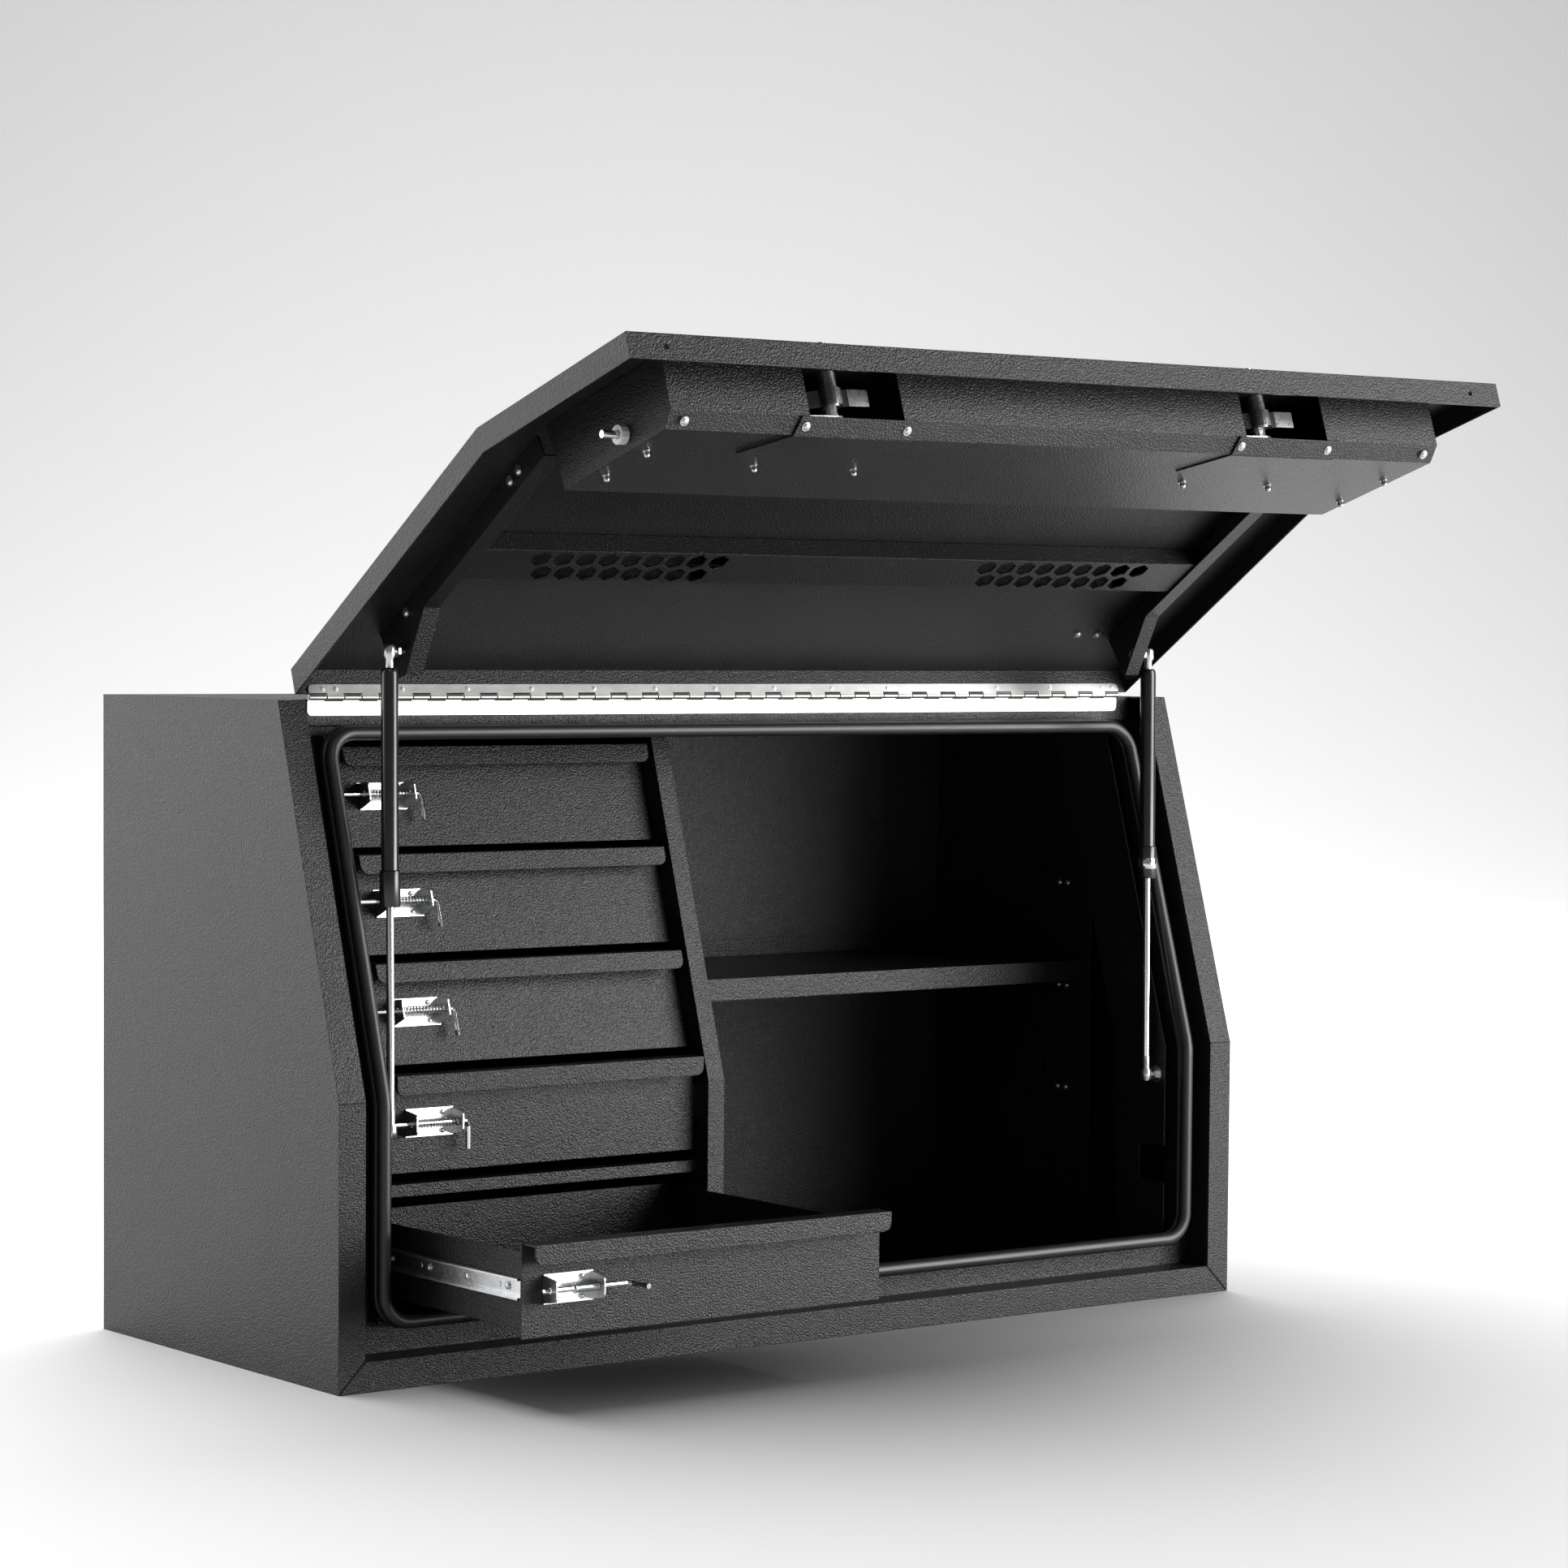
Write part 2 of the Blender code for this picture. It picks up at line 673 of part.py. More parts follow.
def cross_channel():
    """The vented channel across the lid."""
    low, high, depth = 0.168, 0.222, 0.0243
    half = CHANNEL_X - SHEET - GAP
    outline = rectangle(-half, low - (low + high) / 2, half, high - (low + high) / 2)
    vents = hexagons(-0.295, 9, 0.0125) + hexagons(0.295, 9, 0.0125)
    face = plate("cross_channel", "z", outline, -SHEET / 2, SHEET / 2, vents)
    turn = Matrix.Rotation(math.pi / 2 - LID_TILT, 4, "X")
    middle = on_slope((low + high) / 2, depth - SHEET / 2)
    face.matrix_world = Matrix.Translation((0, *middle)) @ turn
    for along in (low, high - SHEET):
        wall = [(along, SHEET + GAP), (along, depth - SHEET / 2)]
        wall += [(s + SHEET, d) for s, d in wall[::-1]]
        join(face, plate(f"cross_channel_{along}", "x", [on_slope(*p) for p in wall], -half, half))
    return finish(face, "powder")


def lock_tray():
    """The folded cover over the two locks, cut away in front of each cam."""
    near = SHEET + GAP
    depths = [(near, 0.074), (0.058, 0.074), (TRAY_DEPTH, 0.089), (TRAY_DEPTH, 0.262), (near, 0.274)]
    outer = [(FRONT + d, z) for d, z in depths]
    tray = plate("lock_tray", "x", outer, -TRAY_X, TRAY_X)
    t = TRAY_SHEET
    inside = [(0, 0.074 + t), (0.058 - t / 2, 0.074 + t), (TRAY_DEPTH - t, 0.089 + t / 2)]
    inside += [(TRAY_DEPTH - t, 0.262 - t), (0, 0.274 - t)]
    hollow = plate("lock_tray_hollow", "x", [(FRONT + d, z) for d, z in inside], t - TRAY_X, TRAY_X - t)
    cut(tray, hollow)
    for side in (-1, 1):
        x = side * LOCK_X
        notch = box(f"lock_notch_{side}", (x - 0.058, FRONT, 0.070), (x + 0.058, FRONT + 0.0585, 0.080))
        rod_y = FRONT + ROD_DEPTH
        edge = sorted((side * (TRAY_X - 0.01), side * (TRAY_X + 0.01)))
        hole = cylinder(f"lock_rod_hole_{side}", (edge[0], rod_y, ROD_Z), (edge[1], rod_y, ROD_Z), 0.0068)
        cut(tray, notch, hole)
    return finish(tray, "powder")


def lock_handle(name, side):
    """The T handle outside the lid, with the spindle that turns the cam."""
    x = side * LOCK_X
    spindle = cylinder(name, (x, FRONT - 0.028, LOCK_Z), (x, FRONT + 0.045, LOCK_Z), 0.008)
    grip_low = (x - 0.045, FRONT - 0.030, LOCK_Z - 0.010)
    grip = box(f"{name}_grip", grip_low, (x + 0.045, FRONT - 0.016, LOCK_Z + 0.010))
    collar = cylinder(f"{name}_collar", (x, FRONT - 0.012, LOCK_Z), (x, FRONT - GAP, LOCK_Z), 0.019, 16)
    return finish(join(spindle, grip, collar), "zinc")


def lock_cam(name, side):
    """The cam that swings behind the door frame."""
    x = side * LOCK_X
    hub = arc((x, LOCK_Z), 0.013, -90, 90, 6)
    tip = arc((x - 0.046, LOCK_Z), 0.009, 90, 270, 4)
    outline = hub + tip
    cam = plate(name, "y", outline, FRONT + 0.0455, FRONT + 0.0485)
    return finish(cam, "zinc")


def lock_rod(name, side):
    y = FRONT + ROD_DEPTH
    start = (side * 0.320, y, ROD_Z)
    return finish(smooth(cylinder(name, start, (side * 0.533, y, ROD_Z), 0.004)), "zinc")


def rod_bush(name, side):
    """The plastic bush that guides a lock rod through the tray's end."""
    y = FRONT + ROD_DEPTH
    flange = TRAY_X + GAP
    profile = [(0.0045, 0.008), (0.0095, 0.008), (0.0095, 0), (0.0045, 0), (0.0045, 0.008)]
    start = (side * flange, y, ROD_Z)
    return finish(turned(name, profile, start, (side * (flange + 1), y, ROD_Z)), "nylon")


# ---- gas struts ----

def swing(point, angle):
    """A closed-lid point (y, z) after the lid has opened by angle."""
    y, z = point[0] - HINGE_Y, point[1] - HINGE_Z
    c, s = math.cos(angle), math.sin(angle)
    return (HINGE_Y + y * c + z * s, HINGE_Z - y * s + z * c)


STRUT_HIGH = swing(STRUT_HIGH_CLOSED, LID_OPEN)


def strut(name, side):
    """The black tube, hung from the lid, and the bright rod that slides in it."""
    x = side * STRUT_X
    high = Vector((x, *STRUT_HIGH))
    low = Vector((x, *STRUT_LOW))
    length = (high - low).length
    bottom = length - 0.262
    top = length - 0.016
    r, bore = TUBE_RADIUS, ROD_RADIUS + 0.0004
    profile = [(0, length + 0.007), (0.005, length + 0.007), (0.0065, length + 0.003), (0.0065, length - 0.003)]
    profile += [(0.0045, length - 0.008), (0.0045, top), (r - 0.001, top), (r, top - 0.002), (r, bottom)]
    profile += [(bore, bottom), (bore, top - 0.02), (0, top - 0.02)]
    tube = turned(f"{name}_tube", profile, low, high)
    inner = side * (CHANNEL_X + 0.0005)
    ball = cylinder(f"{name}_high_stud", high, (inner, *STRUT_HIGH), 0.003, 8)
    join(tube, ball)
    profile = [(0, bottom + 0.03), (ROD_RADIUS, bottom + 0.03), (ROD_RADIUS, 0.012), (0.0065, 0.006)]
    profile += [(0.0065, -0.005), (0.005, -0.007), (0, -0.007)]
    rod = turned(f"{name}_rod", profile, low, high)
    outer = side * (INNER_X - SHEET - 0.006 - 0.0005)
    foot = cylinder(f"{name}_low_stud", low, (outer, *STRUT_LOW), 0.003, 8)
    join(rod, foot)
    finish(tube, "strut_black")
    finish(rod, "chrome")
    carry(empty(f"{name}_pivot", high), tube, rod)


# ---- drawers ----

def drawer_face(low, high):
    """The front's slope: the sloping drawers lean with the lid, the two lowest stand upright."""
    upright = low < BEND_HEIGHT
    tilt = 0.0 if upright else CABINET_TILT
    foot = FRONT + DRAWER_INSET if upright else front_y(CABINET_TILT, DRAWER_INSET, low)
    return tilt, foot, foot + (high - low) * math.tan(tilt)


def drawer(index, edge, low, high):
    """A folded drawer: an open box behind a wider front with a turned-over pull along the top."""
    name = f"drawer_{index}"
    tilt, foot, head = drawer_face(low, high)
    slope = math.tan(tilt)
    left, right = edge + SLIDE_SPACE, DRAWER_RIGHT - SLIDE_SPACE
    floor, rim = low + 0.006, high - 0.012
    near = SHEET / 2
    outline = [
        (foot + near + 0.006 * slope, floor), (DRAWER_REAR, floor), (DRAWER_REAR, rim),
        (foot + near + (rim - low) * slope, rim),
    ]
    body = plate(name, "x", outline, left, right)
    inner_low, inner_high = floor + SHEET, rim + SHEET
    outline = [
        (foot + 2 * SHEET + (inner_low - low) * slope, inner_low), (DRAWER_REAR - SHEET, inner_low),
        (DRAWER_REAR - SHEET, inner_high), (foot + 2 * SHEET + (inner_high - low) * slope, inner_high),
    ]
    cut(body, plate(f"{name}_hollow", "x", outline, left + SHEET, right - SHEET))
    face = [(foot, low), (head, high), (head + SHEET, high), (foot + SHEET, low)]
    cover = rectangle(head - PULL, high - SHEET, head + SHEET, high)
    inset = SHEET
    join(
        body,
        plate(f"{name}_face", "x", face, edge, DRAWER_RIGHT),
        plate(f"{name}_cover", "x", cover, edge + inset, DRAWER_RIGHT - inset),
    )
    radius = 0.009
    pull_left, pull_right = edge + inset, DRAWER_RIGHT - inset
    pull = [(pull_right, 0), (pull_left, 0)]
    pull += arc((pull_left + radius, radius - PULL_DROP), radius, 180, 270, 3)
    pull += arc((pull_right - radius, radius - PULL_DROP), radius, 270, 360, 3)
    lip = plate(f"{name}_lip", "y", pull, -SHEET / 2, SHEET / 2)
    turn = Matrix.Rotation(math.pi / 2 - tilt, 4, "X")
    lip.matrix_world = Matrix.Translation((0, head - PULL + SHEET / 2, high - SHEET / 4)) @ turn
    join(body, lip)
    return finish(body, "powder")


def slide_outer(name, wall_x, side, start, end, middle):
    """The C-shaped rail that is fixed to the cabinet."""
    web = sorted((wall_x, wall_x + side * 0.009))
    rail = box(name, (web[0], start, middle - 0.0175), (web[1], end, middle + 0.0175))
    groove = sorted((wall_x + side * 0.0015, wall_x + side * 0.012))
    slot_low = (groove[0], start - 0.01, middle - 0.0125)
    slot = box(f"{name}_groove", slot_low, (groove[1], end + 0.01, middle + 0.0125))
    return finish(cut(rail, slot), "zinc")


def slide_inner(name, box_x, side, start, end, middle):
    """The rail that is fixed to the drawer and runs in the C."""
    edges = sorted((box_x, box_x - side * 0.0103))
    rail = box(name, (edges[0], start, middle - 0.0105), (edges[1], end, middle + 0.0105))
    return finish(rail, "zinc")


def drawer_set(index, low, high):
    """One drawer with its slides and its latch."""
    tilt, foot, head = drawer_face(low, high)
    lowest = index == len(DRAWER_HEIGHTS)
    out = DRAWER_OUT if lowest else 0.0
    edge = LOW_DRAWER_LEFT if lowest else UPPER_DRAWER_LEFT
    wall = -INNER_X if lowest else SLIDE_PANEL_X
    body = drawer(index, edge, low, high)
    start = head + 0.012
    end = DRAWER_REAR - 0.004
    middle = (low + high) / 2
    left_box, right_box = edge + SLIDE_SPACE, DRAWER_RIGHT - SLIDE_SPACE
    slide_outer(f"slide_{index}_left_outer", wall + SHEET + GAP, 1, start, end, middle)
    slide_outer(f"slide_{index}_right_outer", DIVIDER_X - GAP, -1, start, end, middle)
    moving = [body]
    if out:
        moving.append(slide_inner("slide_5_left_inner", left_box - GAP, 1, start, end, middle))
        moving.append(slide_inner("slide_5_right_inner", right_box + GAP, -1, start, end, middle))
    runner = empty(f"drawer_{index}_slide", (0, foot, middle))
    carry(runner, *moving)
    face = empty(f"latch_{index}_seat", (0, foot + (middle - low) * math.tan(tilt), middle), -tilt)
    carry(runner, face)
    seat(face, *latch(index, edge + LATCH_INSET, lowest))
    runner.location.y -= out


def latch(index, left, drawn_back):
    """The bracket and its bolt, drawn on a face at y = 0 about the height z = 0."""
    right = left + LATCH_WIDTH
    half = LATCH_HEIGHT / 2
    name = f"latch_{index}_bracket"
    back = -GAP
    base = box(name, (left, back - LEAF, -half), (right, back, half))
    root, tip, corner = half - 0.001, half - 0.004, 0.004
    ear = [(back - LEAF / 2, -root), (back - LEAF / 2, root)]
    ear += arc((corner - EAR_DEPTH, tip - corner), corner, 90, 180, 3)
    ear += arc((corner - EAR_DEPTH, corner - tip), corner, 180, 270, 3)
    for x in (left, right - LEAF):
        hole = circle((-BOLT_STANDOFF, 0), BOLT_RADIUS + 0.0006)
        join(base, plate(f"{name}_ear_{x}", "x", ear, x, x + LEAF, [hole]))
    finish(base, "zinc")
    shift = BOLT_TRAVEL if drawn_back else 0.0
    tip_x = LOW_BOLT_TIP if drawn_back else UPPER_BOLT_TIP
    elbow = right + shift + (LOW_BOLT_REACH if drawn_back else UPPER_BOLT_REACH)
    bend = 0.006
    y = -BOLT_STANDOFF
    points = [(tip_x + shift, y, 0), (elbow - bend, y, 0)]
    for step in range(1, 4):
        angle = math.radians(30 * step)
        side = elbow - bend + bend * math.sin(angle)
        fall = bend * (1 - math.cos(angle))
        points.append((side, y - fall, 0) if drawn_back else (side, y, -fall))
    points.append((elbow, y - BOLT_ARM, 0) if drawn_back else (elbow, y, -BOLT_ARM))
    bolt = finish(wire(f"latch_{index}_bolt", points, BOLT_RADIUS), "chrome")
    return base, bolt


# ---- assembly ----

for label, sign in (("left", -1), ("right", 1)):
    side_panel(f"{label}_side_panel", sign)
    strut(f"{label}_strut", sign)
top_panel()
back_panel()
floor_panel()
door_frame()
door_seal()
left_inner_panel()
right_inner_panel()
divider_panel()
right_partition()
shelf()
drawer_rail()
hinge_body_leaf()
hinge_pin()

lid_hinge = empty("lid_hinge", (0, HINGE_Y, HINGE_Z))
lid_pieces = [lid_panel(), hinge_lid_leaf(), cross_channel(), lock_tray()]
for label, sign in (("left", -1), ("right", 1)):
    lid_pieces.append(lid_channel(f"lid_channel_{label}", sign))
    lid_pieces.append(lock_rod(f"lock_rod_{label}", sign))
    lid_pieces.append(rod_bush(f"rod_bush_{label}", sign))
    turning = [lock_handle(f"lock_handle_{label}", sign), lock_cam(f"lock_cam_{label}", sign)]
    lock = empty(f"lock_{label}_turn", (sign * LOCK_X, FRONT, LOCK_Z))
    carry(lock, *turning)
    lid_pieces.append(lock)
carry(lid_hinge, *lid_pieces)
lid_hinge.rotation_euler.x = -LID_OPEN

for number, (bottom, crown) in enumerate(DRAWER_HEIGHTS, 1):
    drawer_set(number, bottom, crown)
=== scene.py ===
"""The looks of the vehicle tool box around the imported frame.

Materials, small hardware, stage, light and camera.
"""

import json
import math

import bmesh
import bpy
from mathutils import Matrix, Vector


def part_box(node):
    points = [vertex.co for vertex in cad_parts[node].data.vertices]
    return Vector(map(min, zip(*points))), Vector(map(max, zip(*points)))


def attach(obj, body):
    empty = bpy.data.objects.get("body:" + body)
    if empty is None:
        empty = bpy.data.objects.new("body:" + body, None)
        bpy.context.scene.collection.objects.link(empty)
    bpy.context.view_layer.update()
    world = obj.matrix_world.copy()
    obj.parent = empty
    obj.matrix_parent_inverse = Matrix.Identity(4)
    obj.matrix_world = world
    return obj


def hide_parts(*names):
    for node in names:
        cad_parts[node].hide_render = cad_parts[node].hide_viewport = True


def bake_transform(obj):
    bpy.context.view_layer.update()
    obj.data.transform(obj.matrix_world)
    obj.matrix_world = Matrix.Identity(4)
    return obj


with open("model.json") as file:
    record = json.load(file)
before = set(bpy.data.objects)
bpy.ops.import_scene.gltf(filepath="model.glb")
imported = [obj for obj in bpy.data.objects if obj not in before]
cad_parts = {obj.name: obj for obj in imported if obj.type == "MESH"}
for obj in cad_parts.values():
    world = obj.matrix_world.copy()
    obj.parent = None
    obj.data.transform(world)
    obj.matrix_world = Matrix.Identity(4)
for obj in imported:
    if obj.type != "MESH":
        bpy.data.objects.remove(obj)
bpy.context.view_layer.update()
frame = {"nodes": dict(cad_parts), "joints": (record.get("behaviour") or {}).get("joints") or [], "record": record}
NODES = frame["nodes"]
JOINTS = {joint["name"]: joint for joint in frame["joints"]}

LID_OPEN = math.radians(-JOINTS["lid_hinge"]["range_deg"][0])
HINGE = Vector(JOINTS["lid_hinge"]["pos_m"])
TO_HINGE, FROM_HINGE = Matrix.Translation(HINGE), Matrix.Translation(-HINGE)
OPEN_LID = TO_HINGE @ Matrix.Rotation(-LID_OPEN, 4, "X") @ FROM_HINGE
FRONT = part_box("floor_panel")[0].y

# The front stands upright to the fold, then leans back to the top.
BEND_HEIGHT = 0.2954
BOX_TOP, SLOPE_DEPTH = 0.700, 0.123
LID_TOP, LID_SLOPE_DEPTH = 0.703, 0.1182
CABINET_TILT = math.atan2(SLOPE_DEPTH, BOX_TOP - BEND_HEIGHT)
LID_TILT = math.atan2(LID_SLOPE_DEPTH, LID_TOP - BEND_HEIGHT)
CORNER_X = 0.610

# The locks and the tray that covers them, in the closed lid's place.
LOCK_X, LOCK_Z = 0.285, 0.115
TRAY_FACE = FRONT + 0.0732

# The drawers' fronts lie behind the door frame, and the lowest one is drawn out at rest.
DRAWER_SETBACK = 0.118
OPEN_DRAWER = 5
DRAWER_5_TRAVEL = 0.333
BOLT_STANDOFF = 0.0125
COIL_RADIUS, COIL_WIRE, COIL_TURNS, COIL_STEPS = 0.0039, 0.00065, 13, 14
STRUT_TUBE_FOOT, STRUT_TUBE_TOP = 0.262, 0.017


# ---- materials ----


def new_material(name):
    made = bpy.data.materials.new(name)
    made.use_nodes = True
    tree = made.node_tree
    return made, tree.nodes, tree.links, tree.nodes["Principled BSDF"]


def object_noise(nodes, links, scale, stretch=(1, 1, 1), detail=3.0):
    place = nodes.new("ShaderNodeTexCoord")
    mapping = nodes.new("ShaderNodeMapping")
    mapping.inputs["Scale"].default_value = stretch
    noise = nodes.new("ShaderNodeTexNoise")
    noise.inputs["Scale"].default_value = scale
    noise.inputs["Detail"].default_value = detail
    links.new(place.outputs["Object"], mapping.inputs["Vector"])
    links.new(mapping.outputs["Vector"], noise.inputs["Vector"])
    return noise


def ramp(nodes, links, source, stops):
    made = nodes.new("ShaderNodeValToRGB")
    made.color_ramp.elements[0].position = stops[0][0]
    made.color_ramp.elements[1].position = stops[1][0]
    for element, (_, colour) in zip(made.color_ramp.elements, stops):
        element.color = (*colour, 1)
    links.new(source.outputs["Fac"], made.inputs["Fac"])
    return made


def spread(nodes, links, source, low, high):
    made = nodes.new("ShaderNodeMapRange")
    made.inputs["To Min"].default_value = low
    made.inputs["To Max"].default_value = high
    links.new(source.outputs["Fac"], made.inputs["Value"])
    return made


def rounded_edges(nodes, links, radius):
    made = nodes.new("ShaderNodeBevel")
    made.samples = 4
    made.inputs["Radius"].default_value = radius
    return made


def bump(nodes, links, height, normal, strength, distance):
    made = nodes.new("ShaderNodeBump")
    made.inputs["Strength"].default_value = strength
    made.inputs["Distance"].default_value = distance
    links.new(height.outputs["Fac"], made.inputs["Height"])
    if normal:
        links.new(normal.outputs["Normal"], made.inputs["Normal"])
    return made


def powder_coat():
    """Black textured powder coat: a pebbled skin with a satin gloss and a faint mottle."""
    made, nodes, links, shader = new_material("powder_coat")
    mottle = object_noise(nodes, links, 9)
    pebble = object_noise(nodes, links, 540, detail=2.0)
    dark, light = (0.0050, 0.0050, 0.0054), (0.0080, 0.0080, 0.0085)
    colour = ramp(nodes, links, mottle, [(0.3, dark), (0.7, light)])
    rough = spread(nodes, links, pebble, 0.24, 0.40)
    edge = rounded_edges(nodes, links, 0.0014)
    skin = bump(nodes, links, pebble, edge, 1.0, 0.0012)
    shader.inputs["Specular IOR Level"].default_value = 0.36
    links.new(colour.outputs["Color"], shader.inputs["Base Color"])
    links.new(rough.outputs["Result"], shader.inputs["Roughness"])
    links.new(skin.outputs["Normal"], shader.inputs["Normal"])
    return made


def metal(name, colour, roughness, grain, stretch, strength):
    """A bright metal with a fine grain, duller in patches."""
    made, nodes, links, shader = new_material(name)
    lines = object_noise(nodes, links, grain, stretch)
    cloud = object_noise(nodes, links, 60)
    darker = tuple(c * 0.82 for c in colour)
    shade = ramp(nodes, links, cloud, [(0.3, darker), (0.7, colour)])
    rough = spread(nodes, links, lines, roughness * 0.7, roughness * 1.3)
    skin = bump(nodes, links, lines, rounded_edges(nodes, links, 0.0002), strength, 0.0001)
    shader.inputs["Metallic"].default_value = 1.0
    links.new(shade.outputs["Color"], shader.inputs["Base Color"])
    links.new(rough.outputs["Result"], shader.inputs["Roughness"])
    links.new(skin.outputs["Normal"], shader.inputs["Normal"])
    return made


def dark_plastic(name, colour, roughness, specular):
    """A smooth dark skin: rubber, gloss paint or plastic."""
    made, nodes, links, shader = new_material(name)
    cloud = object_noise(nodes, links, 45)
    lighter = tuple(c * 1.35 for c in colour)
    shade = ramp(nodes, links, cloud, [(0.35, colour), (0.7, lighter)])
    rough = spread(nodes, links, cloud, roughness * 0.85, roughness * 1.15)
    shader.inputs["Specular IOR Level"].default_value = specular
    links.new(shade.outputs["Color"], shader.inputs["Base Color"])
    links.new(rough.outputs["Result"], shader.inputs["Roughness"])
    return made


LOOKS = {
    "powder": powder_coat(),
    "stainless": metal("stainless_hinge", (0.38, 0.372, 0.36), 0.40, 240, (0.04, 1, 1), 0.25),
    "zinc": metal("zinc_plate", (0.70, 0.71, 0.72), 0.30, 300, (1, 1, 1), 0.2),
    "rubber": dark_plastic("seal_rubber", (0.010, 0.010, 0.010), 0.42, 0.5),
    "strut_black": dark_plastic("strut_paint", (0.008, 0.008, 0.008), 0.22, 0.6),
    "chrome": metal("chrome_plate", (0.86, 0.86, 0.86), 0.09, 200, (1, 1, 0.1), 0.05),
    "nylon": dark_plastic("white_nylon", (0.60, 0.60, 0.58), 0.40, 0.5),
}

for part in frame["record"]["subparts"]:
    node = NODES[part["node"]]
    node.data.materials.clear()
    node.data.materials.append(LOOKS[part["material_slot"]])


# ---- piece helpers ----


class Sketch:
    """Several simple shapes drawn into one mesh, which becomes one piece."""

    def __init__(self, name, look, body, place=Matrix.Identity(4)):
        self.name, self.look, self.body, self.place = name, look, body, place
        self.shape = bmesh.new()

    def _add(self, verts, matrix):
        bmesh.ops.transform(self.shape, matrix=matrix, verts=verts)

    def box(self, low, high):
        made = bmesh.ops.create_cube(self.shape, size=1)
        size = Matrix.Diagonal([b - a for a, b in zip(low, high)] + [1])
        middle = Matrix.Translation([(a + b) / 2 for a, b in zip(low, high)])
        self._add(made["verts"], middle @ size)

    def cylinder(self, start, end, radius, sides=20, far_radius=None):
        start, end = Vector(start), Vector(end)
        made = bmesh.ops.create_cone(
            self.shape, cap_ends=True, segments=sides, radius1=radius,
            radius2=radius if far_radius is None else far_radius, depth=(end - start).length,
        )
        turn = (end - start).to_track_quat("Z", "Y").to_matrix().to_4x4()
        self._add(made["verts"], Matrix.Translation((start + end) / 2) @ turn)

    def slab(self, outline, thickness):
        """A flat plate: an outline swept straight by a vector."""
        bottom = [self.shape.verts.new(point) for point in outline]
        top = [self.shape.verts.new(Vector(point) + Vector(thickness)) for point in outline]
        faces = [self.shape.faces.new(bottom), self.shape.faces.new(top[::-1])]
        for k in range(len(outline)):
            j = (k + 1) % len(outline)
            faces.append(self.shape.faces.new((bottom[k], top[k], top[j], bottom[j])))
        bmesh.ops.recalc_face_normals(self.shape, faces=faces)

    def rivet(self, seat, out):
        """A low round head with a small raised centre."""
        seat, out = Vector(seat), Vector(out)
        self.cylinder(seat, seat + out * 0.0004, 0.0031, 18)
        self.cylinder(seat, seat + out * 0.0011, 0.0025, 18, 0.0019)
        self.dome(seat + out * 0.0011, out, 0.0010, 0.0005)

    def dome(self, seat, out, radius, height):
        """A rivet or screw head: a flattened ball, half sunk at seat."""
        made = bmesh.ops.create_uvsphere(self.shape, u_segments=14, v_segments=8, radius=1)
        turn = Vector(out).to_track_quat("Z", "Y").to_matrix().to_4x4()
        size = Matrix.Diagonal((radius, radius, height, 1))
        self._add(made["verts"], Matrix.Translation(seat) @ turn @ size)

    def screw(self, seat, out, radius=0.0035):
        """A pan-head screw on a small washer."""
        seat, out = Vector(seat), Vector(out).normalized()
        self.cylinder(seat, seat + out * 0.0006, radius * 1.35)
        self.cylinder(seat, seat + out * 0.0014, radius)
        self.dome(seat + out * 0.0013, out, radius * 0.97, radius * 0.38)

    def nut(self, seat, out, radius, height, stud=0.0):
        seat, out = Vector(seat), Vector(out).normalized()
        self.cylinder(seat, seat + out * 0.0008, radius * 1.3)
        self.cylinder(seat, seat + out * height, radius, 6)
        if stud:
            self.cylinder(seat, seat + out * (height + stud), radius * 0.52, 12)

    def done(self):
        mesh = bpy.data.meshes.new(self.name)
        self.shape.to_mesh(mesh)
        self.shape.free()
        mesh.transform(self.place)
        mesh.shade_smooth()
        mesh.set_sharp_from_angle(angle=math.radians(35))
        made = bpy.data.objects.new(self.name, mesh)
        return placed(made, self.look, self.body)


def placed(obj, look, body):
    """Add a piece with its look, riding on its body if it has one."""
    bpy.context.scene.collection.objects.link(obj)
    obj.data.materials.append(LOOKS[look])
    if body:
        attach(obj, body)
    return obj


def mesh_of_curve(source):
    """The evaluated mesh of a curve object, which is then removed."""
    bpy.context.scene.collection.objects.link(source)
    bpy.context.view_layer.update()
    depsgraph = bpy.context.evaluated_depsgraph_get()
    mesh = bpy.data.meshes.new_from_object(source.evaluated_get(depsgraph))
    bpy.data.objects.remove(source)
    return mesh


def tube(name, points, radius, look, body, closed=False, resolution=6, place=None):
    """A round wire along a line of points, capped unless it is closed."""
    curve = bpy.data.curves.new(name, "CURVE")
    curve.dimensions = "3D"
    curve.bevel_depth = radius
    curve.bevel_resolution = resolution
    curve.use_fill_caps = not closed
    spline = curve.splines.new("POLY")
    spline.points.add(len(points) - 1)
    for knot, point in zip(spline.points, points):
        knot.co = (*point, 1)
    spline.use_cyclic_u = closed
    mesh = mesh_of_curve(bpy.data.objects.new(name, curve))
    if place is not None:
        mesh.transform(place)
    mesh.materials.clear()
    mesh.shade_smooth()
    return placed(bpy.data.objects.new(name, mesh), look, body)


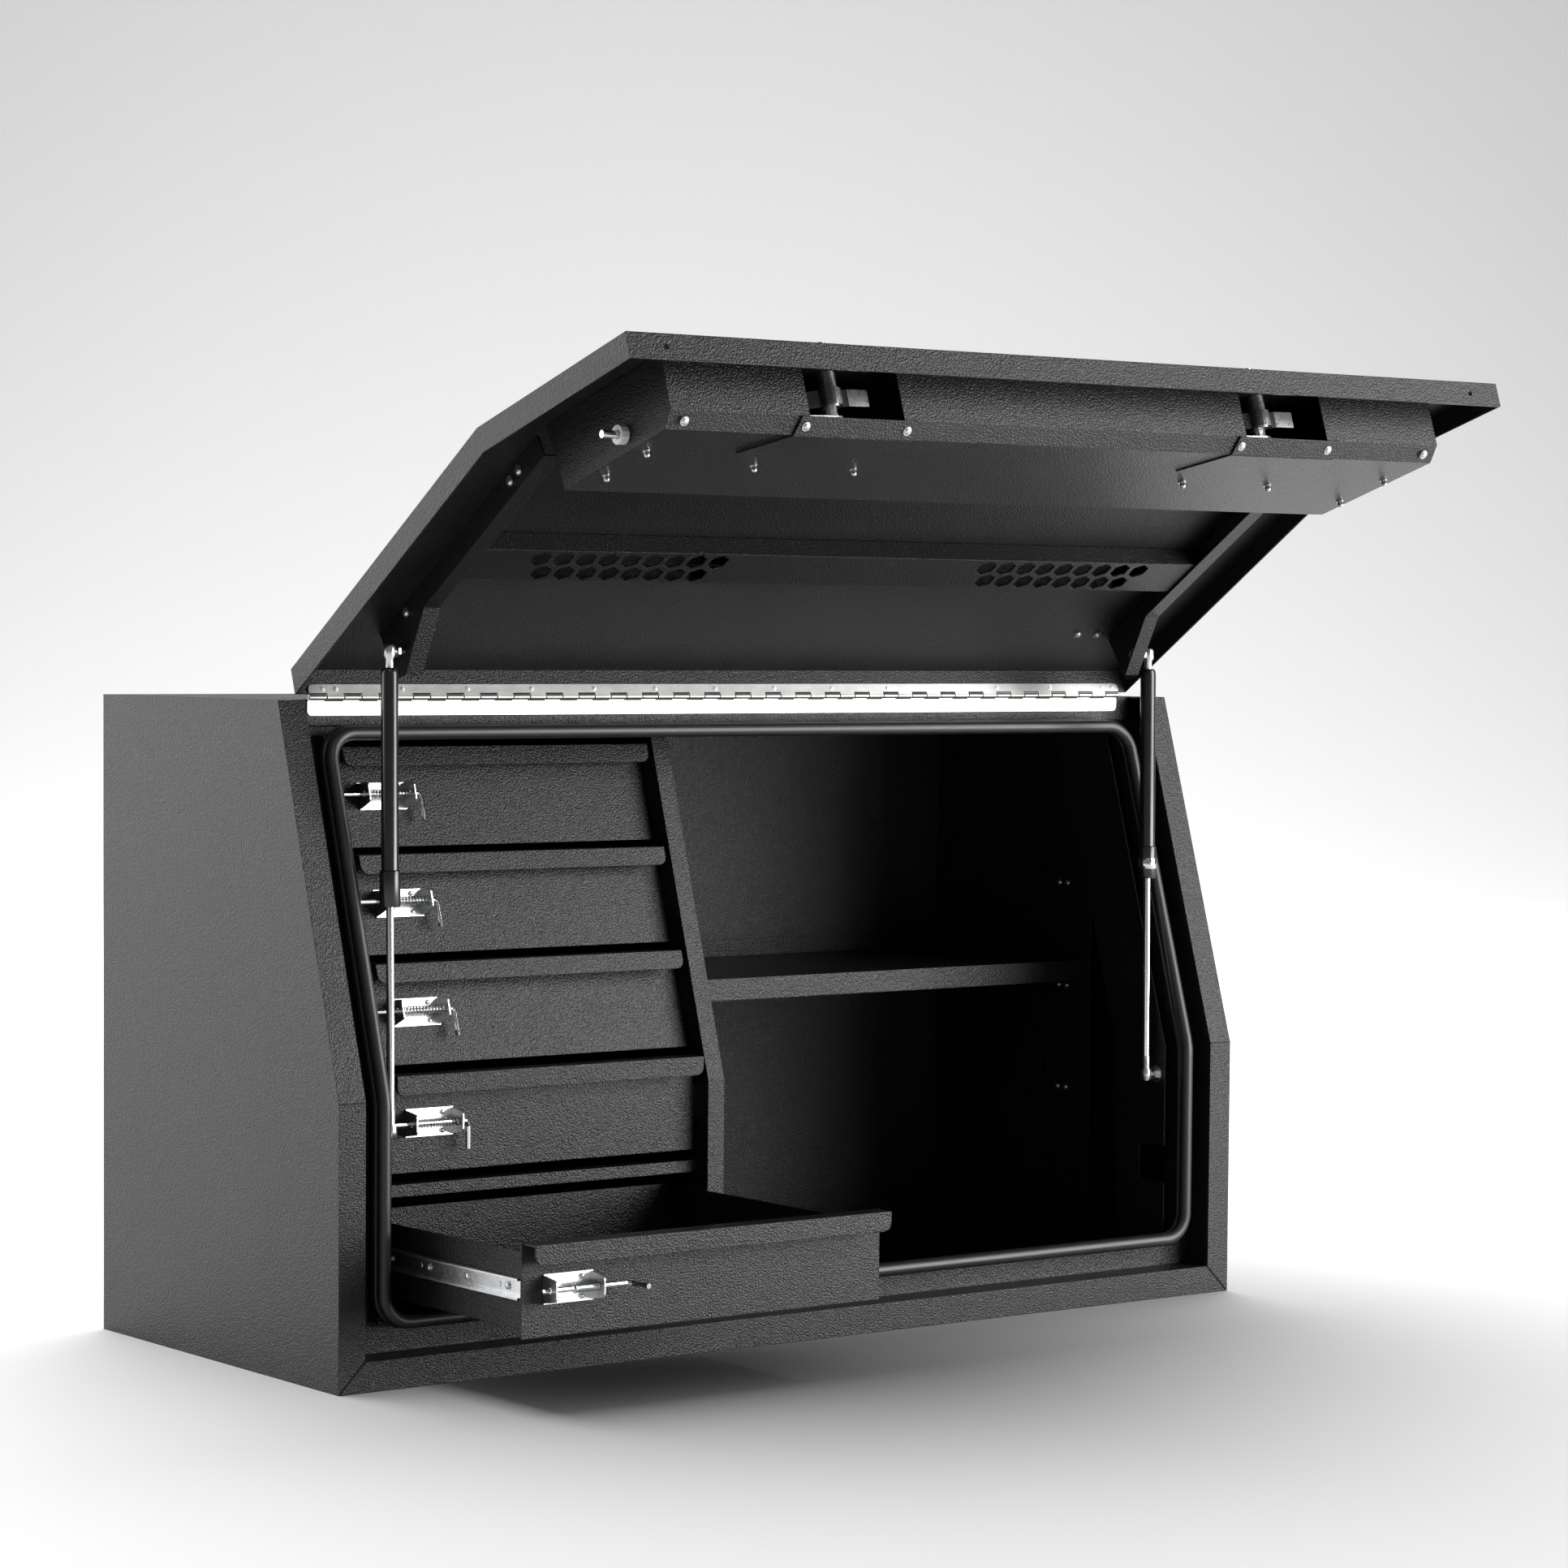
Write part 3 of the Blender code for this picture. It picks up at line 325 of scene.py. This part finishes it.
def turned(name, profile, start, end, look, body, steps=32):
    """A profile of (radius, height) turned about the line from start towards end."""
    start, end = Vector(start), Vector(end)
    shape = bmesh.new()
    rings = []
    for i in range(steps):
        angle = 2 * math.pi * i / steps
        c, s = math.cos(angle), math.sin(angle)
        rings.append([shape.verts.new((r * c, r * s, h)) for r, h in profile])
    for i in range(steps):
        here, there = rings[i], rings[(i + 1) % steps]
        for k in range(len(profile) - 1):
            shape.faces.new((here[k], here[k + 1], there[k + 1], there[k]))
    bmesh.ops.remove_doubles(shape, verts=shape.verts, dist=0.00001)
    bmesh.ops.recalc_face_normals(shape, faces=shape.faces)
    turn = (end - start).to_track_quat("Z", "Y").to_matrix().to_4x4()
    bmesh.ops.transform(shape, matrix=Matrix.Translation(start) @ turn, verts=shape.verts)
    mesh = bpy.data.meshes.new(name)
    shape.to_mesh(mesh)
    shape.free()
    mesh.shade_smooth()
    mesh.set_sharp_from_angle(angle=math.radians(40))
    return placed(bpy.data.objects.new(name, mesh), look, body)


def arc(centre, radius, start, end, steps):
    """Points on an arc in a plane, from one angle to another in degrees."""
    angles = [math.radians(start + (end - start) * i / steps) for i in range(steps + 1)]
    return [(centre[0] + radius * math.cos(a), centre[1] + radius * math.sin(a)) for a in angles]


def front_y(depth, height):
    """How far back the cabinet's front lies at a height, set depth behind its outer face."""
    bend = BEND_HEIGHT - depth * math.tan(CABINET_TILT / 2)
    if height <= bend:
        return FRONT + depth
    return FRONT + (height - BEND_HEIGHT) * math.tan(CABINET_TILT) + depth / math.cos(CABINET_TILT)


def on_slope(along, depth):
    """(y, z) on the closed lid's sloping face."""
    y = FRONT + along * math.sin(LID_TILT) + depth * math.cos(LID_TILT)
    z = BEND_HEIGHT + along * math.cos(LID_TILT) - depth * math.sin(LID_TILT)
    return (y, z)


# ---- piano hinge ----

KNUCKLES = 53
HINGE_LENGTH = 1.117
LEAF = 0.0015
LEAF_CORNER = 0.005
LID_LEAF_EDGE = 0.0135
ROLL = 0.0036
PIN = 0.0012
BARREL = 0.0029
KNUCKLE_GAP = 0.0007
RIVETS = 14
DROP_FACE = -0.0973
LID_FACE = 0.7007


def leaf_outline(left, right, near, far, first, corner):
    """A leaf with rounded outer corners and a comb of knuckle roots along its other edge."""
    pitch = HINGE_LENGTH / KNUCKLES
    line = arc((left + corner, near + corner), corner, 180, 270, 4)
    line += arc((right - corner, near + corner), corner, 270, 360, 4)
    root = far - ROLL
    line.append((right, root))
    for index in range(KNUCKLES - 1 - first, -1, -2):
        start = left + index * pitch + KNUCKLE_GAP
        end = left + (index + 1) * pitch - KNUCKLE_GAP
        line += [(end, root), (end, far), (start, far), (start, root)]
    line.append((left, root))
    return line


def piano_hinge():
    """Two riveted leaves, rolled into short knuckles round one pin."""
    pitch = HINGE_LENGTH / KNUCKLES
    half = HINGE_LENGTH / 2
    y, z = HINGE.y, HINGE.z
    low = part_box("hinge_body_leaf")[0]
    face = DROP_FACE - LEAF
    body_leaf = Sketch("hinge_leaf_lower", "stainless", "cabinet")
    lid_leaf = Sketch("hinge_leaf_upper", "stainless", "lid", OPEN_LID)
    pin = Sketch("hinge_pin_fine", "stainless", "cabinet")
    rivets = {
        "cabinet": Sketch("hinge_rivets_lower", "zinc", "cabinet"),
        "lid": Sketch("hinge_rivets_upper", "zinc", "lid", OPEN_LID),
    }
    pin.cylinder((-half, y, z), (half, y, z), PIN, 12)
    outline = leaf_outline(-half, half, low.z, z - 0.0004, 0, LEAF_CORNER)
    body_leaf.slab([(x, face, up) for x, up in outline], (0, LEAF, 0))
    outline = leaf_outline(-half, half, -LID_LEAF_EDGE, -0.0004, 1, LEAF_CORNER)
    lid_leaf.slab([(x, y + reach, LID_FACE - LEAF) for x, reach in outline], (0, 0, LEAF))
    for index in range(KNUCKLES):
        start = -half + index * pitch + KNUCKLE_GAP
        leaf = body_leaf if index % 2 == 0 else lid_leaf
        leaf.cylinder((start, y, z), (start + pitch - 2 * KNUCKLE_GAP, y, z), BARREL, 16)
    spots = [-half + 0.029 + (HINGE_LENGTH - 0.058) * i / (RIVETS - 1) for i in range(RIVETS)]
    for x in spots + [-half + 0.013, half - 0.013]:
        rivets["cabinet"].rivet((x, face, low.z + 0.0085), (0, -1, 0))
        rivets["lid"].rivet((x + 0.004, y - 0.0088, LID_FACE - LEAF), (0, 0, -1))
    made = [piece.done() for piece in (body_leaf, lid_leaf, pin)]
    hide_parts("hinge_body_leaf")
    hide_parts("hinge_lid_leaf")
    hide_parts("hinge_pin")
    for piece in rivets.values():
        piece.done()


# ---- door seal ----

def seal_ring(inset, depth, corner):
    """A rounded rectangle laid on the folded front, with the fold softened."""
    half = 0.5505 - inset
    low, high = 0.0665 + inset, 0.6655 - inset
    loop = arc((-half + corner, low + corner), corner, 180, 270, 10)
    loop += arc((half - corner, low + corner), corner, 270, 360, 10)
    bend = [(half, BEND_HEIGHT + step * 0.012) for step in (-1.5, -0.5, 0.5, 1.5)]
    loop += bend + arc((half - corner, high - corner), corner, 0, 90, 10)
    loop += arc((-half + corner, high - corner), corner, 90, 180, 10)
    loop += [(-x, z) for x, z in bend[::-1]]
    return [(x, front_y(depth, z), z) for x, z in loop]


def door_seal():
    """A bulb on two grips that pinch the frame's lip."""
    bulb_line = seal_ring(0.0, 0.0105, 0.030)
    outer_line = seal_ring(-0.0040, 0.0190, 0.034)
    inner_line = seal_ring(0.0030, 0.0185, 0.027)
    bulb = tube("seal_bulb", bulb_line, 0.0074, "rubber", "cabinet", closed=True)
    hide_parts("door_seal")
    tube("seal_grip_outer", outer_line, 0.0042, "rubber", "cabinet", closed=True)
    tube("seal_grip_inner", inner_line, 0.0036, "rubber", "cabinet", closed=True)


# ---- gas struts ----

def gas_strut(label, side):
    """A painted tube with a collar, a chrome rod, and a ball socket at each end."""
    high = Vector(JOINTS[f"strut_{label}_swing"]["pos_m"])
    axis = Vector(JOINTS[f"strut_{label}_stroke"]["axis"]).normalized()
    low_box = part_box(f"{label}_strut_rod")[0]
    length = (high.z - (low_box.z + 0.0075)) / axis.z
    low = high - axis * length
    bottom, top = length - STRUT_TUBE_FOOT, length - STRUT_TUBE_TOP
    tube_body, rod_body = f"strut_tube_{label}", f"strut_rod_{label}"
    profile = [(0.0001, top), (0.0070, top), (0.0084, top - 0.002), (0.0090, top - 0.006)]
    profile += [(0.0090, bottom + 0.038), (0.0106, bottom + 0.037), (0.0108, bottom + 0.035)]
    profile += [(0.0108, bottom + 0.003), (0.0098, bottom), (0.0046, bottom)]
    shell = turned(f"{label}_strut_shell", profile, low, high, "strut_black", tube_body)
    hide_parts(f"{label}_strut_tube")
    socket = [(0.0001, length + 0.007), (0.0045, length + 0.007), (0.0064, length + 0.0045)]
    socket += [(0.0064, length - 0.0045), (0.0042, length - 0.008), (0.0042, top - 0.001)]
    turned(f"{label}_strut_socket", socket, low, high, "zinc", tube_body)
    if side > 0:
        ring = [(0.0106, bottom + 0.024), (0.0112, bottom + 0.023)]
        ring += [(0.0112, bottom + 0.012), (0.0106, bottom + 0.011)]
        turned(f"{label}_strut_ring", ring, low, high, "chrome", tube_body)
    stud = Sketch(f"{label}_strut_stud", "zinc", tube_body)
    inward = Vector((-side, 0, 0))
    stud.cylinder(high, high + inward * 0.0175, 0.003)
    stud.cylinder(high + inward * 0.008, high + inward * 0.011, 0.0062, 6)
    stud.done()
    profile = [(0.0001, bottom + 0.03), (0.0042, bottom + 0.03), (0.0042, 0.016), (0.0001, 0.016)]
    rod = turned(f"{label}_strut_bar", profile, low, high, "chrome", rod_body)
    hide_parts(f"{label}_strut_rod")
    foot = [(0.0001, 0.022), (0.0045, 0.022), (0.0045, 0.008), (0.0064, 0.0045), (0.0064, -0.0045)]
    foot += [(0.0045, -0.0072), (0.0001, -0.0072)]
    turned(f"{label}_strut_foot", foot, low, high, "zinc", rod_body)
    stud = Sketch(f"{label}_foot_stud", "zinc", rod_body)
    outward = Vector((side, 0, 0))
    stud.cylinder(low, low + outward * 0.009, 0.003)
    stud.done()
    nut = Sketch(f"{label}_foot_nut", "zinc", "cabinet")
    seat = low + outward * 0.0153
    nut.nut(seat, -outward, 0.0078, 0.0062)
    nut.done()
    nut = Sketch(f"{label}_head_nut", "zinc", "lid")
    nut.nut(high + inward * 0.0202, inward, 0.0062, 0.005, 0.003)
    nut.done()


# ---- drawer latches and slides ----

def latch_frame(index):
    """The place of a latch on its drawer's face, and the ends of its bracket."""
    tilt = CABINET_TILT if index <= 3 else 0.0
    bracket_low, bracket_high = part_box(f"latch_{index}_bracket")
    drawer_low, drawer_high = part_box(f"drawer_{index}")
    upright = FRONT + DRAWER_SETBACK
    foot = upright if index >= 4 else front_y(DRAWER_SETBACK, drawer_low.z)
    out = 0.0
    if index == OPEN_DRAWER:
        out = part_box("drawer_4")[0].y - drawer_low.y
    rise = (drawer_high.z - drawer_low.z) / 2
    middle = (0, foot + rise * math.tan(tilt) - out, drawer_low.z + rise)
    place = Matrix.Translation(middle) @ Matrix.Rotation(-tilt, 4, "X")
    return place, bracket_low.x, bracket_high.x


def latch_details(index):
    """The spring between the bolt's stop and the right ear, and the bracket's screws and rib."""
    place, left, right = latch_frame(index)
    y = -BOLT_STANDOFF
    stop = left + (0.030 if index == OPEN_DRAWER else 0.0045)
    first, last = stop + 0.0008, right - 0.0018
    steps = COIL_TURNS * COIL_STEPS
    coil = []
    for step in range(steps + 1):
        angle = 2 * math.pi * step / COIL_STEPS
        x = first + (last - first) * step / steps
        coil.append((x, y + COIL_RADIUS * math.cos(angle), COIL_RADIUS * math.sin(angle)))
    spring = tube(
        f"latch_{index}_spring", coil, COIL_WIRE, "zinc", None, resolution=2, place=place
    )
    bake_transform(spring)
    ring = Sketch(f"latch_{index}_stop", "zinc", f"latch_bolt_{index}", place)
    ring.cylinder((stop - 0.0014, y, 0), (stop, y, 0), 0.0048)
    ring.cylinder((stop - 0.0007, y - 0.006, 0), (stop - 0.0007, y + 0.006, 0), 0.0009, 10)
    ring.done()
    screws = Sketch(f"latch_{index}_screws", "zinc", f"drawer_{index}", place)
    for z in (-0.0098, 0.0098):
        screws.screw((right - 0.0135, -0.0018, z), (0, -1, 0), 0.0026)
    screws.box((left + 0.017, -0.0026, -0.0112), (left + 0.030, -0.0017, -0.0082))
    screws.done()


def span(x0, x1, y0, y1, z, half):
    """The two corners of a box on either side of height z."""
    return (min(x0, x1), y0, z - half), (max(x0, x1), y1, z + half)


def slide_details(index):
    """Ball rails: a ribbed middle rail with screws, riding on the drawer, and the screws that fix the outer rail.
    """
    low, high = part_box(f"slide_{index}_left_outer")
    middle = (low.z + high.z) / 2
    out = DRAWER_5_TRAVEL if index == OPEN_DRAWER else 0.0
    drawer = f"drawer_{index}"
    for label, side in (("left", 1), ("right", -1)):
        low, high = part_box(f"slide_{index}_{label}_outer")
        wall = low.x if side > 0 else high.x
        box_x = wall + side * 0.0159
        rail = Sketch(f"slide_{index}_{label}_rail", "zinc", drawer)
        near, far = low.y - out, high.y - out
        rail.box(*span(box_x - side * 0.0018, box_x - side * 0.0004, near, far, middle, 0.0105))
        for edge in (-1, 1):
            z = middle + edge * 0.0095
            rail.box(*span(box_x - side * 0.0100, box_x - side * 0.0010, near, far, z, 0.0011))
        holes = 5 if index == OPEN_DRAWER else 3
        for hole in range(holes):
            y = near + 0.028 + (far - near - 0.056) * hole / (holes - 1)
            rail.screw((box_x - side * 0.0018, y, middle), (-side, 0, 0), 0.0036)
            seat = Vector((box_x - side * 0.0018, y + 0.016, middle))
            rail.cylinder(seat, seat - Vector((side * 0.0006, 0, 0)), 0.0030)
        made = rail.done()
        if index == OPEN_DRAWER:
            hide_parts(f"slide_5_{label}_inner")
        screws = Sketch(f"slide_{index}_{label}_fixings", "zinc", "cabinet")
        for y in (low.y + 0.012, high.y - 0.03):
            screws.screw((wall + side * 0.0015, y, middle), (side, 0, 0), 0.0036)
        screws.done()


# ---- lid hardware ----

def cover_patch(side):
    """A second sheet over the tray's folded edge below a lock, with a slanting left end."""
    patch = Sketch(f"cam_patch_{'left' if side < 0 else 'right'}", "powder", "lid", OPEN_LID)
    left, right = side * LOCK_X - 0.072, side * LOCK_X + 0.074
    off = 0.0012 * math.sqrt(0.5)
    fold = [(0.0580, 0.0740), (0.0730, 0.0890)]
    lifted = [(FRONT + depth + off, z - off) for depth, z in fold]
    edge = [(left + 0.004, *lifted[0]), (right, *lifted[0])]
    edge += [(right, *lifted[1]), (left, *lifted[1])]
    patch.slab(edge, (0, off, -off))
    outline = [(left, 0.0886), (right, 0.0886), (right, 0.110), (left - 0.030, 0.142)]
    patch.slab([(x, TRAY_FACE, z) for x, z in outline], (0, 0.0014, 0))
    return patch.done()


def lock_works(label, side):
    """What shows in the tray's opening: a bent strap round the lock's barrel, and its nut."""
    x = side * LOCK_X
    centre = (x - 0.006, 0.104)
    path = arc(centre, 0.0115, 175, 350, 12)
    path = [(x - 0.030, 0.112), (x - 0.022, 0.107)] + path
    path += [(x + 0.012, 0.0985), (x + 0.036, 0.0975)]
    strap = Sketch(f"lock_strap_{label}", "zinc", f"lock_{label}", OPEN_LID)
    for (ax, az), (bx, bz) in zip(path, path[1:]):
        normal = Vector((az - bz, bx - ax)).normalized() * 0.0009
        corners = [(ax + normal.x, az + normal.y), (bx + normal.x, bz + normal.y)]
        corners += [(bx - normal.x, bz - normal.y), (ax - normal.x, az - normal.y)]
        strap.slab([(px, FRONT + 0.020, pz) for px, pz in corners], (0, 0.017, 0))
    barrel_x, barrel_z = centre
    strap.cylinder(
        (barrel_x, FRONT + 0.0025, barrel_z), (barrel_x, FRONT + 0.038, barrel_z), 0.0095, 24
    )
    strap.done()
    nut = Sketch(f"cam_nut_{label}", "zinc", f"lock_{label}", OPEN_LID)
    nut.nut((x, FRONT + 0.0487, LOCK_Z), (0, 1, 0), 0.0085, 0.0055, 0.004)
    nut.done()
    key = Sketch(f"lock_key_face_{label}", "chrome", f"lock_{label}", OPEN_LID)
    key.cylinder((x, FRONT - 0.0318, LOCK_Z), (x, FRONT - 0.0298, LOCK_Z), 0.0085, 24)
    key.box(
        (x - 0.0006, FRONT - 0.0324, LOCK_Z - 0.004), (x + 0.0006, FRONT - 0.0317, LOCK_Z + 0.004)
    )
    key.done()


def lock_tray_hardware():
    """Screws along the tray's folded edge and domed nuts on the studs of its face."""
    edge = Sketch("tray_edge_screws", "zinc", "lid", OPEN_LID)
    out = (0, math.sqrt(0.5), -math.sqrt(0.5))
    for x in (0.489, 0.346, 0.222):
        for side in (-1, 1):
            edge.screw((side * x, FRONT + 0.0674, 0.0796), out, 0.0036)
    edge.done()
    studs = Sketch("tray_studs", "zinc", "lid", OPEN_LID)
    for x, z in ((0.490, 0.145), (0.490, 0.215), (0.343, 0.174), (0.220, 0.174)):
        for side in (-1, 1):
            seat = Vector((side * x, TRAY_FACE, z))
            studs.cylinder(seat, seat + Vector((0, 0.0012, 0)), 0.0042)
            studs.cylinder(seat, seat + Vector((0, 0.0050, 0)), 0.0030, 6)
            studs.dome(seat + Vector((0, 0.0050, 0)), (0, 1, 0), 0.0029, 0.0026)
    studs.done()
    for label, side in (("left", -1), ("right", 1)):
        cover_patch(side)
        lock_works(label, side)


def lid_bolts():
    """Bolts that fix the side channels and the hinge end of the lid."""
    bolts = Sketch("lid_bolts", "zinc", "lid", OPEN_LID)
    for side in (-1, 1):
        for along in (0.05, 0.068, 0.300):
            y, z = on_slope(along, 0.012)
            bolts.screw((side * 0.5023, y, z), (side, 0, 0), 0.0040)
        y, z = on_slope(0.345, 0.0022)
        for x in (0.445, 0.475):
            bolts.screw((side * x, y, z), (0, math.cos(LID_TILT), -math.sin(LID_TILT)), 0.0038)
    for x in (-0.455, 0.03, 0.46):
        bolts.screw((x, FRONT + 0.0022, 0.050), (0, 1, 0), 0.0036)
    bolts.done()


def shelf_screws():
    """Three pairs of screws that hold the keyhole strips of the right partition."""
    screws = Sketch("partition_screws", "zinc", "cabinet")
    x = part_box("right_partition")[0].x
    for z in (0.222, 0.347, 0.472):
        for y in (-0.004, 0.011):
            screws.screw((x - 0.0001, y, z), (-1, 0, 0), 0.0030)
    screws.done()


def weld_beads():
    """Dressed weld lines at the mitred foot corners and along the folds."""
    for label, side in (("left", -1), ("right", 1)):
        points = []
        for step in range(22):
            reach = 0.0025 + 0.029 * step / 21
            wander = 0.0003 * math.sin(step * 2.1)
            points.append((side * (CORNER_X - reach), FRONT - 0.0002, reach + wander))
        tube(f"corner_weld_{label}", points, 0.0011, "powder", "cabinet", resolution=2)
        reaches = [0.0005 + 0.0305 * step / 8 for step in range(9)]
        fold = [(side * (CORNER_X - reach), FRONT - 0.0001, BEND_HEIGHT) for reach in reaches]
        tube(f"fold_weld_{label}", fold, 0.0008, "powder", "cabinet", resolution=2)


# ---- stage, light and camera ----

def stage():
    """A seamless pale floor that curves up far behind the object."""
    shape = bmesh.new()
    sweep = [(7 + y, 5 + z) for y, z in arc((0, 0), 5, -90, 0, 16)]
    profile = [(-9, 0), (7, 0)] + sweep[1:] + [(12, 14)]
    edge = [[shape.verts.new((x, y, z)) for y, z in profile] for x in (-14, 14)]
    for k in range(len(profile) - 1):
        shape.faces.new((edge[0][k], edge[1][k], edge[1][k + 1], edge[0][k + 1]))
    mesh = bpy.data.meshes.new("studio_floor")
    shape.to_mesh(mesh)
    shape.free()
    mesh.shade_smooth()
    floor = bpy.data.objects.new("studio_floor", mesh)
    floor.rotation_euler.z = -0.6486
    bpy.context.scene.collection.objects.link(floor)
    paper, _, _, shader = new_material("studio_paper")
    shader.inputs["Base Color"].default_value = (0.88, 0.88, 0.88, 1)
    shader.inputs["Roughness"].default_value = 0.9
    mesh.materials.append(paper)


def area_light(name, place, target, size, power, lit):
    """A soft box that lights only the listed objects."""
    data = bpy.data.lights.new(name, "AREA")
    data.shape = "RECTANGLE"
    data.size, data.size_y = size
    data.energy = power
    lamp = bpy.data.objects.new(name, data)
    lamp.location = place
    lamp.rotation_euler = (Vector(target) - Vector(place)).to_track_quat("-Z", "Y").to_euler()
    bpy.context.scene.collection.objects.link(lamp)
    receivers = bpy.data.collections.new(f"{name}_receivers")
    for obj in lit:
        receivers.objects.link(obj)
    lamp.light_linking.receiver_collection = receivers


def lights():
    """A pale world, two soft boxes for the floor and backdrop, and four for the object."""
    world = bpy.data.worlds.new("studio")
    world.use_nodes = True
    world.node_tree.nodes["Background"].inputs["Color"].default_value = (1, 1, 1, 1)
    world.node_tree.nodes["Background"].inputs["Strength"].default_value = 0.18
    bpy.context.scene.world = world
    floor = [bpy.data.objects["studio_floor"]]
    item = [obj for obj in bpy.data.objects if obj.type == "MESH" and obj not in floor]
    area_light("overhead", (0.8, 2.2, 5.5), (0.8, 2.2, 0), (8.0, 8.0), 740, floor)
    area_light("backdrop", (1.5, 2.5, 3.0), (6.0, 7.6, 2.2), (4.0, 2.0), 190, floor)
    area_light("side", (-3.4, 3.6, 1.4), (-0.6, 0, 0.35), (6.0, 4.0), 190, item)
    area_light("front", (2.3, -2.7, 1.7), (0.1, -0.2, 0.5), (2.2, 2.0), 135, item)
    area_light("strip", (1.9, -2.6, 0.25), (0.1, -0.2, 0.3), (2.4, 0.8), 85, item)
    area_light("key", (-1.6, -3.0, 3.6), (0, 0, 0.4), (1.2, 1.0), 16, item)


def camera():
    """The view: low, from the front left, long lens."""
    forward = Vector((0.6032, 0.7958, -0.0526)).normalized()
    right = Vector((forward.y, -forward.x, 0)).normalized()
    up = right.cross(forward)
    roll = 0.008
    across, along = math.cos(roll), math.sin(roll)
    right, up = right * across + up * along, up * across - right * along
    data = bpy.data.cameras.new("camera")
    data.sensor_width = 36
    data.lens = 96.55
    data.shift_x = -0.00447
    data.shift_y = 0.0459
    cam = bpy.data.objects.new("camera", data)
    turn = Matrix((right, up, -forward)).transposed().to_4x4()
    cam.matrix_world = Matrix.Translation((-2.7915, -3.8766, 0.7713)) @ turn
    bpy.context.scene.collection.objects.link(cam)
    bpy.context.scene.camera = cam
    bpy.context.scene.view_settings.view_transform = "Standard"


piano_hinge()
door_seal()
for label, side in (("left", -1), ("right", 1)):
    gas_strut(label, side)
for index in range(1, 6):
    latch_details(index)
    slide_details(index)
lock_tray_hardware()
lid_bolts()
shelf_screws()
weld_beads()
stage()
lights()
camera()
